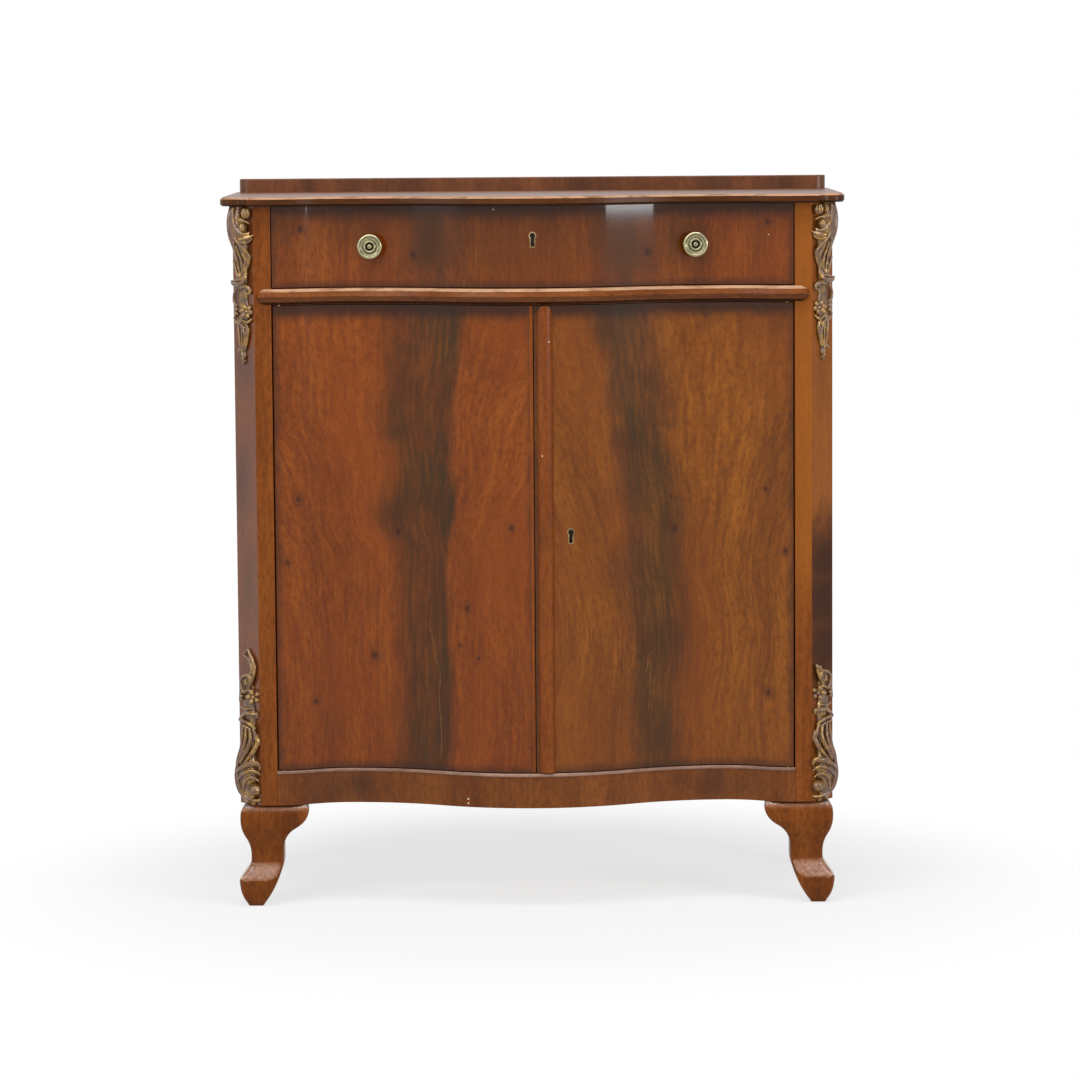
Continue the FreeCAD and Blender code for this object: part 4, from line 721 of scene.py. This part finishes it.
def tube(bm, points):
    """Round-ended rod through (x, y, z, radius) points, its girth changing on the way."""
    line = spline(points, TUBE_STEPS) if len(points) > 2 else points
    places = [Vector(p[:3]) for p in line]
    radii = [max(p[3], THINNEST) for p in line]
    ends = []
    for place, inner, radius in ((places[0], places[1], radii[0]), (places[-1], places[-2], radii[-1])):
        out = (place - inner).normalized()
        ends.append([(place + out * radius * reach, radius * girth)
                     for reach, girth in ((0.6, 0.8), (1.0, 0.12))])
    chain = list(reversed(ends[0])) + list(zip(places, radii)) + ends[1]
    side = Vector((0.31, 0.87, 0.38))
    rings = []
    for i, (place, radius) in enumerate(chain):
        ahead = (chain[min(i + 1, len(chain) - 1)][0] - chain[max(i - 1, 0)][0]).normalized()
        side = (side - ahead * side.dot(ahead)).normalized()
        across = ahead.cross(side)
        rings.append([place + (side * math.cos(a) + across * math.sin(a)) * radius
                      for a in circle(TUBE_SIDES)])
    loft(bm, rings)


def to_mesh(bm, name):
    bmesh.ops.recalc_face_normals(bm, faces=bm.faces)
    mesh = bpy.data.meshes.new(name)
    bm.to_mesh(mesh)
    bm.free()
    return mesh


# ---------------- carved consoles
# Local millimetres: u across the canted face, inner side positive; h out of the face; z from the end
# that meets the top or the foot. The ground under the carving is a row of (z, half width, height, shift)
# sections; a stroke is a rod through (u, h, z, radius) points, most of it sunk in the ground.
UPPER_GROUND = [
    (0, 12, 13, -7), (10, 13.5, 16, -7), (20, 14.5, 18.5, -6.5), (38, 16, 19.5, -5), (47, 16, 18, -3),
    (56, 16, 15, -1.5), (66, 15, 12, -0.5), (76, 13.5, 8.5, 0), (90, 12, 6, 0), (103, 10, 5.5, 0),
    (112, 11, 6.5, -1), (120, 13, 7.5, -2), (126, 11, 5, -1), (133, 11, 3.5, 0), (150, 11, 3.5, 0),
    (160, 14, 4.5, 0), (178, 13, 4.5, 0), (186, 9.5, 4.5, 0), (200, 10.5, 4.5, 1.5), (215, 8.5, 4, 1.5),
    (232, 5, 3, 0), (240, 4.5, 3, 0), (254, 2, 2, 0)]
LOWER_GROUND = [
    (0, 9, 6, 4), (8, 12, 10, 2), (19, 14, 13, -2.5), (30, 15, 15.5, -3), (40, 17, 16.5, -1),
    (54, 19, 17.5, 0), (65, 17.5, 16, 0), (83, 15, 11, 0), (94, 14, 8.5, 1), (110, 13.5, 7, 2),
    (124, 12, 6.5, 2), (134, 14, 7, 2), (146, 15, 7.5, 3), (154, 12.5, 5, 2), (166, 12, 3.5, 0),
    (188, 12, 3.5, 0), (204, 10, 4, -1), (216, 5, 3, 6)]
SQUARENESS = 4.0              # of the ground's section: 2 is an ellipse, more comes nearer to a box
GROUND_STEPS = 90
TUBE_SIDES, TUBE_STEPS = 10, 5
THINNEST = 0.15
CARVING_VOXEL = 0.7
LOW_FROM, LOW_REACH, LOW_DEPTH = 5.0, 3.0, 0.4    # what lies low on the case is darkened with the hollows (painted shade)


class Ground:
    def __init__(self, sections):
        self.sections = sections

    def at(self, z):
        """Half width, height and shift at z, eased between the sections."""
        if z <= self.sections[0][0]:
            return self.sections[0][1:]
        for low, high in zip(self.sections, self.sections[1:]):
            if z <= high[0]:
                t = (z - low[0]) / (high[0] - low[0])
                t = t * t * (3 - 2 * t)
                return [a + (b - a) * t for a, b in zip(low[1:], high[1:])]
        return self.sections[-1][1:]

    def place(self, turn, z, lift=0.0):
        """(u, h) of the surface: turn 0 is the middle of the front, 90 degrees the inner flank's foot."""
        half, height, shift = self.at(z)
        s, c = math.sin(math.radians(turn)), math.cos(math.radians(turn))
        power = 2 / SQUARENESS
        u = (half + lift) * math.copysign(abs(s) ** power, s)
        return u + shift, (height + lift) * max(c, 0.0) ** power

    def ridge(self, points):
        """Stroke along the surface through (turn, z, radius) points, sunk by a third of its radius."""
        return [self.place(turn, z, -0.35 * r) + (z, r) for turn, z, r in points]

    def skin(self, bm):
        levels = [self.sections[-1][0] * i / GROUND_STEPS for i in range(GROUND_STEPS + 1)]
        loft(bm, [[self.place(turn, z) + (z,) for turn in range(-90, 91, 12)] for z in levels])


def rosette(u, h, z, radius, facing=45.0, turn=0.2, petals=6):
    """Flower of round petals; facing turns it from the front, 0 degrees, to the inner flank, 90 degrees."""
    out_u, out_h = math.sin(math.radians(facing)), math.cos(math.radians(facing))
    strokes = [[(u, h, z, radius * 0.3), (u + out_u * 2, h + out_h * 2, z, radius * 0.24)]]
    for i in range(petals):
        a = 2 * math.pi * (i + turn) / petals
        c, s = math.cos(a), math.sin(a)
        petal = ((0.4, -0.5, 0.2), (0.62, 1.0, 0.34), (0.82, 1.0, 0.33), (0.96, -1.0, 0.2))
        strokes.append([(u + c * radius * far * out_h + rise * out_u,
                         h - c * radius * far * out_u + rise * out_h,
                         z + s * radius * far, radius * girth) for far, rise, girth in petal])
    return strokes


def ball(u, h, z, radius, facing=45.0, ribs=(-38, 0, 38)):
    """Round boss with upright ribs."""
    strokes = [[(u, h, z - 0.3, radius), (u, h, z + 0.3, radius)]]
    for rib in ribs:
        a = math.radians(facing + rib)
        strokes.append([(u + math.sin(a) * radius * math.cos(b), h + math.cos(a) * radius * math.cos(b),
                         z + radius * math.sin(b), radius * 0.17) for b in (-1.0, -0.5, 0.0, 0.5, 1.0)])
    return strokes


# From the top: outer ribbon, two volutes, beak leaf, acanthus in its collar, flower, husk.
UPPER_RIDGES = [
    [(-72, 0, 3), (-70, 15, 3.4), (-68, 30, 3.4), (-64, 48, 3.2), (-56, 66, 2.9), (-50, 84, 2.5),
     (-44, 100, 2.2), (-40, 112, 2)],
    [(-50, 0, 3), (-48, 15, 3.3), (-46, 30, 3.3), (-42, 48, 3.1), (-36, 66, 2.7), (-30, 84, 2.3),
     (-24, 100, 2), (-18, 112, 2)],
    [(-28, 1, 2.8), (-24, 12, 3.1), (-22, 24, 3), (-20, 40, 2.8), (-20, 56, 2.4)],
]
UPPER_STROKES = [
    [(-3, 18.5, 4, 2.2), (-1, 20, 14, 2.3), (0.5, 20.4, 22, 2.4), (3.5, 20.6, 30, 2.7),
     (8.5, 19.8, 37.5, 2.9), (14.5, 17.2, 43.5, 2.8), (19.5, 11.5, 44.5, 2.3), (22, 6.5, 42, 1.6)],
    [(9, 17.5, 22, 1.5), (15, 16.5, 22.5, 1.7), (20.5, 12, 24, 1.6), (22.5, 7, 27, 1.3)],
    [(11.5, 17.5, 52, 3), (18.5, 12, 51.5, 4), (23.5, 6, 49, 2.8), (27, 2.2, 45.5, 1)],
    [(10, 17, 46.5, 1.5), (17, 13.5, 46.8, 1.8), (23, 7, 46.2, 1.3)],
    [(10.5, 16.5, 56.5, 1.8), (16.5, 12, 58, 2.4), (21.5, 6, 55.5, 2), (24.5, 2.5, 51.5, 1.2)],
    [(3, 19.3, 50, 2.2), (9, 16, 60, 2.6), (15.3, 11.5, 69, 3), (20, 6, 80, 3.2), (16, 4.5, 94, 2.8),
     (11.5, 5, 102, 2.4), (9.5, 6, 111, 2)],
    [(7.5, 17, 57, 2), (10.3, 12.8, 69.5, 2.4), (15, 9, 82.5, 2.8), (12.3, 7.4, 95.5, 2.5),
     (7.6, 7.5, 108, 2)],
    [(1.5, 15.8, 64, 2), (3, 11.4, 77, 2.3), (7, 8.8, 90, 2.4), (5.8, 7.8, 102, 2.2),
     (2.8, 8, 112, 1.8)],
    [(-4, 16.4, 58, 2.2), (-4.5, 12, 72, 2.2), (-3, 9.4, 86, 2.2), (-1, 8, 100, 2), (0, 8.5, 114, 1.8)],
    [(-13, 9, 88, 2), (-9, 8.5, 100, 2.2), (-4, 9, 111, 2)],
    [(12.5, 5.5, 103, 2.2), (13.5, 8.5, 114, 3.2), (8, 11, 122, 3.7), (-2, 11.8, 125, 3.7),
     (-12.5, 10.5, 124.5, 3.4), (-18.5, 8.5, 120.5, 2.4)],
    [(9.5, 8, 110, 1.5), (5, 10, 116.5, 1.7), (-4, 10.5, 118.5, 1.7), (-12, 9.5, 118, 1.4)],
    [(-1.5, 5.5, 131, 2.4), (9, 7, 127.5, 3), (17, 5.5, 130, 3.3), (20, 4, 135.2, 3),
     (16, 4, 139.5, 2.5), (11, 5, 137, 1.9)],
    [(-8.5, 8, 131, 2.3), (-16.5, 6, 142, 2.3), (-16.5, 6, 153, 2.5), (-11, 6, 159, 2.1)],
    [(-16, 6, 162, 2.2), (-9.5, 7, 167, 2.6), (-12.5, 7, 174.5, 2.4), (-16, 6, 180, 2.2),
     (-10.5, 6, 187, 2.2)],
    [(20, 3, 181, 1.7), (15, 5, 185, 2.6), (8, 6.5, 184, 2.4), (1, 6.5, 180, 1.8)],
    [(-7, 6, 182, 2), (-1.5, 6.6, 188.3, 2.8), (7.5, 6, 194.5, 2)],
    [(3.4, 4.6, 185, 2), (11, 3.6, 191, 2.7), (12.6, 3.4, 200, 3), (10.6, 3.4, 213, 2.6),
     (5.5, 2.6, 230, 1.8)],
    [(1.3, 6.2, 193, 1.8), (7.4, 5.8, 204, 2.2), (6.6, 5.4, 217, 2.1), (2.2, 4, 230.5, 1.6)],
    [(-7, 5.6, 189, 2.2), (-5.5, 6, 202.5, 2.5), (-4.4, 5.2, 217.5, 2.3), (-3.3, 4, 230.5, 1.8)],
    [(1, 6.4, 200, 1.5), (1.6, 6, 214, 1.6), (0.2, 4.6, 229, 1.3)],
    [(-10, 3.6, 232.8, 1.9), (-5.5, 4.8, 228.6, 2), (-0.5, 4.6, 231.5, 2.2)],
    [(-2.2, 3.4, 233.5, 2.4), (1, 3.4, 241.7, 2.6), (0.8, 3, 249, 2.1), (-0.6, 2.6, 253, 1.4)],
    [(-3.8, 2.8, 243.6, 1.6), (-3.6, 2.8, 244.4, 1.5)],
    [(5.4, 2.4, 239.6, 1.7), (5, 2.4, 240.6, 1.5)],
    [(5, 2.2, 247.8, 1.5), (4.6, 2.2, 248.4, 1.4)],
] + ball(17, 8.6, 11.2, 8.2) + ball(13.4, 13, 34, 7, 45, (-20, 20)) + (
    rosette(13, 6.4, 168, 10.4) + rosette(-12, 4.6, 168, 8, -45, 0.6))

# From the foot: great volute round its eye, acanthus, crossed band, flower, scrolls, stem.
LOWER_STROKES = [
    [(-14, 17, 52, 2.6), (-8, 19, 57, 3.2), (3, 19.4, 63, 3.9), (16, 16, 68.5, 4.6), (25, 9.5, 70, 4.6),
     (27, 4.5, 64, 3.4), (24, 3, 57.5, 2)],
    [(-8, 19.4, 42, 2), (4, 19.8, 52, 2.9), (16.5, 16.4, 57.5, 3.2), (25, 10.5, 56.5, 2.6),
     (28, 5.5, 52, 1.5)],
    [(1, 17.4, 27, 2), (7.5, 18.2, 40, 2.8), (15.5, 15.6, 46.8, 2.8), (23, 11, 45.5, 2),
     (26.5, 7, 41.5, 1.3)],
    [(-17, 14, 60, 3.2), (-17.5, 15, 48, 3.6), (-16, 15, 35, 3.6), (-12, 13.5, 22, 3.2),
     (-5, 10, 12, 2.8)],
    [(-11, 18, 48, 2.2), (-9.5, 17.8, 36, 2.8), (-7, 15.4, 24, 2.8), (-1, 11.5, 15, 2.2)],
    [(-6, 13.5, 17, 2.6), (4.5, 9.5, 10.5, 3.2), (17, 5.5, 8, 3.2), (25, 3, 9.5, 2.2)],
    [(-20, 6, 50, 2.6), (-19, 6, 36, 2.8), (-15.5, 5, 22, 2.6), (-8, 4, 10, 2.2)],
    [(16, 6.5, 125, 2.6), (20, 6, 113, 3.2), (22.5, 4.6, 104, 3.8), (20, 8, 93, 4), (12.5, 13, 80, 3.6),
     (3, 17, 68, 2.6)],
    [(9.5, 8.8, 125, 2.4), (12.5, 9.8, 111, 3.2), (11.5, 12.4, 99, 3.8), (5.5, 15.2, 86, 3.6),
     (-3, 18, 70, 2.6)],
    [(0.5, 9.2, 125, 2.4), (2, 11, 110, 3.1), (0.5, 13.8, 95, 3.4), (-5, 16.4, 79, 3.2),
     (-11, 18, 64, 2.4)],
    [(-8, 7.6, 123, 2.4), (-8.5, 9, 107, 2.9), (-10, 11, 91, 3.1), (-14, 14, 75, 3),
     (-17, 14.5, 61, 2.4)],
    [(21, 3, 116, 1.6), (24.5, 2.4, 107, 1.8), (25.5, 2, 100, 1.2)],
    [(-12, 9.5, 141, 2.6), (2.5, 11, 149, 3.3), (15, 8.5, 149.6, 3.4), (22.5, 4, 149, 3),
     (22, 4.5, 144.5, 1.8)],
    [(-17, 6, 138, 2), (-12.5, 10.5, 138, 2.6), (-0.5, 11.2, 136.5, 2.8), (11.5, 8.6, 131.5, 2.7),
     (18, 5.6, 126.5, 1.8)],
    [(-15, 6, 132, 2), (-9, 10, 130.5, 2.4), (2.6, 10, 128, 2.3), (11.5, 8, 123.5, 1.7)],
    [(-17, 6, 168, 1.8), (-16, 6, 176, 2), (-14.5, 6.4, 184, 2.2), (-12.5, 7, 191.5, 2.6),
     (-7, 7, 183, 2.2)],
    [(-7, 6.6, 182, 2), (1, 7, 186.5, 2.4), (8.5, 7, 187.5, 2)],
    [(-14, 5, 158, 2), (-4, 6, 156, 2.2), (8, 6, 157, 2)],
    [(-12, 5.4, 193, 2.2), (-14, 6, 200.5, 2.6), (-7.5, 6.2, 208.5, 2.8), (4.5, 6, 211.5, 2.8),
     (10.5, 6, 205.5, 2.5), (7.5, 6.4, 198.5, 2.2), (-0.8, 7, 197.5, 2.2), (-0.4, 7.4, 203, 2.4)],
    [(5.4, 5, 191.8, 2.6), (11, 5, 201, 2.8), (15.4, 4.4, 211.8, 3), (17.5, 4, 221, 3)],
    [(1.8, 5.2, 196, 2), (7.2, 5.2, 208.3, 2.2), (11.2, 4.8, 219, 2.4)],
] + ball(19.4, 7.6, 26, 9.6, 45, ()) + (
    rosette(15.2, 5.8, 177, 11, 50, 0.45, 5) + rosette(-13, 4.4, 176, 7.4, -45, 0.1, 5))

# What the broken console has lost.
LEAF_TIP = [
    [(17.5, 4, 220, 3), (18, 3.8, 226, 2.9), (13.3, 3.8, 237, 2.7), (6, 3.6, 246, 2.4),
     (2.5, 3.4, 252, 2), (-1, 3.2, 252.5, 1.6)],
    [(11.2, 4.8, 218, 2.4), (10.5, 4.4, 226, 2.2), (6.4, 4.2, 234, 2.1), (-1.5, 3.8, 241, 1.8),
     (-7.5, 3.2, 242.5, 1.7), (-8.5, 3, 246, 1.5), (-4, 3.2, 248, 1.2)],
    [(14, 4.8, 222, 1.5), (13, 4.6, 231, 1.6), (6, 4.6, 241, 1.4)],
]


def carve(ground, strokes):
    """Ground and strokes fused into one skin, rubbed soft, with a flat back and its relief noted."""
    bm = bmesh.new()
    ground.skin(bm)
    for line in strokes:
        tube(bm, line)
    mesh = worked(to_mesh(bm, "carving"), voxels(CARVING_VOXEL), rubbing(2, 0.5))
    heights = heights_over(mesh, 22)
    note_relief(mesh, [height - LOW_DEPTH * share_of((LOW_FROM - vertex.co.y) / LOW_REACH)
                       for height, vertex in zip(heights, mesh.vertices)])
    for vertex in mesh.vertices:
        vertex.co.y = max(vertex.co.y, 0.0)
    return mesh


def set_console(name, mesh, end, up, side):
    """Stand a copy of the carving on its canted corner in place of the CAD console."""
    mesh = mesh.copy()
    diagonal = math.sqrt(0.5)
    for vertex in mesh.vertices:
        u, h, z = vertex.co
        x = CASE_HALF - CANT / 2 + (h - u) * diagonal
        y = STILE_Y + CANT / 2 - (h + u) * diagonal
        vertex.co = Vector((side * x, y, end + up * z)) * MM
    if side * up < 0:
        mesh.flip_normals()
    new_piece("carved_" + name, mesh, GILDING, "carcase", name)


def shape_consoles():
    """Two upper consoles, and two lower ones of which the right has lost the tip of its leaf."""
    ground = Ground(UPPER_GROUND)
    upper = carve(ground, [ground.ridge(line) for line in UPPER_RIDGES] + UPPER_STROKES)
    ground = Ground(LOWER_GROUND)
    lower = carve(ground, LOWER_STROKES + LEAF_TIP)
    broken = carve(ground, LOWER_STROKES)
    set_console("upper_left_console", upper, CASE_TOP_Z, -1, -1)
    set_console("upper_right_console", upper, CASE_TOP_Z, -1, 1)
    set_console("lower_left_console", lower, FOOT_HEIGHT, 1, -1)
    set_console("lower_right_console", broken, FOOT_HEIGHT, 1, 1)


# ---------------- feet and knobs
ARRIS_Z, ARRIS_REACH = 0.044, 0.009       # of the crisp edge over the toe
ARRIS_KEPT = 0.93                         # share of the rubbing that it is spared
FLAT_FOOT, FLAT_TOP = 0.002, 0.0015       # kept flat at the floor and under the rail
ROLL, ROLL_INSET = 0.024, 0.006           # height and depth of the rounding under the rail
FOOT_VOXEL = 0.0016
SHOULDER_Z, SHOULDER_REACH = 0.12, 0.03   # the softest rubbing fades in above this level
STRETCH_Z = 0.1                           # above it the foot is drawn up to its full height again


def softness(co):
    """Share of rubbing: none at either end, little along the arris."""
    at_arris = math.exp(-((co.z - ARRIS_Z) / ARRIS_REACH) ** 2)
    at_ends = 1.0 if co.z < FLAT_FOOT or co.z > FOOT_HEIGHT * MM - FLAT_TOP else 0.0
    return max(0.0, 1.0 - ARRIS_KEPT * at_arris - at_ends)


def shoulder(co):
    return share_of((co.z - SHOULDER_Z) / SHOULDER_REACH)


def shape_feet():
    """Front feet rubbed round, rolled over under the rail, keeping the crisp edge over the toe."""
    for name in ("left_front_foot", "right_front_foot"):
        mesh = worked(NODES[name].data.copy(), ("WELD", {"merge_threshold": 0.00002}), voxels(FOOT_VOXEL))
        top = max(vertex.co.z for vertex in mesh.vertices)
        for iterations, group in ((14, softness), (30, shoulder)):
            mesh = worked(mesh, rubbing(iterations, vertex_group="soft"), group=group)
        highest = max(vertex.co.z for vertex in mesh.vertices)
        for vertex in mesh.vertices:
            share = share_of((vertex.co.z - STRETCH_Z) / (highest - STRETCH_Z))
            vertex.co.z += (top - highest) * share
        shifts = []
        for vertex in mesh.vertices:
            rise = share_of((vertex.co.z - top + ROLL) / ROLL)
            outward = Vector((vertex.normal.x, vertex.normal.y, 0.0))
            shifts.append(outward * -ROLL_INSET * (1 - math.sqrt(max(1 - rise * rise, 0.0))))
        note_relief(mesh, [height / MM for height in heights_over(mesh, 16)])
        for vertex, shift in zip(mesh.vertices, shifts):
            vertex.co += shift
        new_piece("shaped_" + name, mesh, FOOT_WOOD, "carcase", name)


KNOB_PROFILE = [
    (0, 22.4), (2.2, 22.3), (3.4, 21.6), (3.9, 20.7), (5.2, 20.4), (6.4, 20.9), (7.3, 21.9),
    (8.6, 22.2), (9.8, 21.7), (10.4, 20.5), (12.2, 19.9), (14.6, 20.1), (15.6, 21.2), (16.6, 22.1),
    (18.4, 22.0), (19.8, 21.0), (20.5, 19.4), (20.3, 17.6), (18.6, 16.0), (14, 14.6), (9, 13.4),
    (6.4, 12.0), (5.6, 9.0), (5.8, 5.2), (7.2, 2.8), (9.3, 2.2), (9.5, 0.4)]
KNOB_SIDES = 72
RING_REACH, FACE_LEVEL = 2.6, 14          # width over which the face is evened out, and its lowest part


def shape_knobs():
    """Turned brass knobs: button, two raised rings, rolled rim, waisted stem, rose on the drawer front."""
    for name in ("left_drawer_knob", "right_drawer_knob"):
        low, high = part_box(name)
        x, z = (low.x + high.x) / 2, (low.z + high.z) / 2
        front = low.y
        bm = bmesh.new()
        profile = spline(KNOB_PROFILE, 3)
        tip = profile[0][1]
        rings = []
        for r, out in profile[1:]:
            y = front + (tip - out) * MM
            rings.append([bm.verts.new((x + r * MM * math.cos(a), y, z + r * MM * math.sin(a)))
                          for a in circle(KNOB_SIDES)])
        centre = bm.verts.new((x, front, z))
        for k in range(KNOB_SIDES):
            after = (k + 1) % KNOB_SIDES
            bm.faces.new((centre, rings[0][k], rings[0][after]))
            for inner, outer in zip(rings, rings[1:]):
                bm.faces.new((inner[k], outer[k], outer[after], inner[after]))
        bm.faces.new(rings[-1])
        mesh = to_mesh(bm, name)
        heights = []
        for vertex in mesh.vertices:
            r = math.hypot(vertex.co.x - x, vertex.co.z - z) / MM
            near = [out for at, out in profile if abs(at - r) < RING_REACH and out > FACE_LEVEL]
            level = sum(near) / len(near) if near else 0.0
            heights.append(tip - (vertex.co.y - front) / MM - level)
        note_relief(mesh, heights)
        new_piece("turned_" + name, mesh, KNOB_BRASS, "drawer", name)


shape_consoles()
shape_feet()
shape_knobs()

# ---------------- floor, light, camera
FLOOR_HALF = 12.0
FLOOR_GREY = (0.82, 0.82, 0.82, 1.0)
FLOOR_FADE = (0.5, 1.0)       # distances from the middle between which it turns plain white
FLOOR_GLOW = 0.72             # share of white over the grey nearer than that
WORLD_LEVEL = 0.32            # of the grey light from all round
WHITE = (1.0, 1.0, 1.0, 1.0)
LAMPS = (                     # name, place, point that it faces, width, height, watts
    ("key", (-2.2, -3.6, 3.0), (0.0, 0.0, 0.7), 2.0, 1.2, 59.0),
    ("window", (2.542, -2.142, 1.285), (0.15, -0.17, 1.285), 0.92, 0.5, 30.0),
    ("far_window", (-2.542, -2.142, 1.325), (-0.15, -0.17, 1.325), 0.8, 0.5, 9.0),
    ("ceiling", (0.0, -1.1, 3.1), (0.0, -0.15, 0.8), 2.4, 1.0, 46.0),
)
CAMERA_PLACE = (0.0085, -7.061, 1.3165)
CAMERA_DOWN, CAMERA_ROLL = 5.96, -0.42    # degrees below the level, and clockwise
SENSOR_WIDTH, LENS = 36.0, 143.7


def stage_floor():
    """Pale floor that keeps the shadow; it melts into the white background away from the object."""
    mesh = bpy.data.meshes.new("floor")
    h = FLOOR_HALF
    mesh.from_pydata([(-h, -h, 0), (h, -h, 0), (h, h, 0), (-h, h, 0)], [], [(0, 1, 2, 3)])
    material = bpy.data.materials.new("pale_floor")
    material.use_nodes = True
    nodes = Nodes(material.node_tree)
    nodes.tree.nodes.clear()
    place = nodes.node("ShaderNodeTexCoord").outputs["Object"]
    away = nodes.node("ShaderNodeVectorMath", place, operation="LENGTH").outputs["Value"]
    white = nodes.times(nodes.viewing_rays(), nodes.step(away, *FLOOR_FADE, FLOOR_GLOW, 1.0))
    grey = nodes.node("ShaderNodeBsdfDiffuse", FLOOR_GREY).outputs[0]
    glow = nodes.node("ShaderNodeEmission", WHITE).outputs[0]
    blend = nodes.node("ShaderNodeMixShader", white, grey, glow).outputs[0]
    nodes.node("ShaderNodeOutputMaterial", blend)
    mesh.materials.append(material)
    floor = placed("floor", mesh)


def world_light():
    """White where the camera or a reflection sees it, a plain grey level for the light it gives."""
    world = bpy.data.worlds.new("studio")
    bpy.context.scene.world = world
    world.use_nodes = True
    nodes = Nodes(world.node_tree)
    back = nodes.tree.nodes["Background"].inputs
    nodes.put(back["Color"], WHITE)
    nodes.put(back["Strength"], nodes.step_linear(nodes.viewing_rays(), 0.0, 1.0, WORLD_LEVEL, 1.0))


def softbox(name, place, aim, width, height, power):
    light = bpy.data.lights.new(name, "AREA")
    light.shape = "RECTANGLE"
    light.size, light.size_y = width, height
    light.energy = power
    lamp = placed(name, light)
    lamp.location = place
    lamp.rotation_euler = (Vector(aim) - Vector(place)).to_track_quat("-Z", "Y").to_euler()


def front_camera():
    data = bpy.data.cameras.new("camera")
    data.sensor_width, data.lens = SENSOR_WIDTH, LENS
    data.clip_end = 100.0
    camera = placed("camera", data)
    tilt = Matrix.Rotation(math.radians(90 - CAMERA_DOWN), 4, "X")
    roll = Matrix.Rotation(math.radians(CAMERA_ROLL), 4, "Z")
    camera.matrix_world = Matrix.Translation(CAMERA_PLACE) @ tilt @ roll
    bpy.context.scene.camera = camera


stage_floor()
world_light()
for values in LAMPS:
    softbox(*values)
front_camera()
bpy.context.scene.view_settings.view_transform = "Standard"
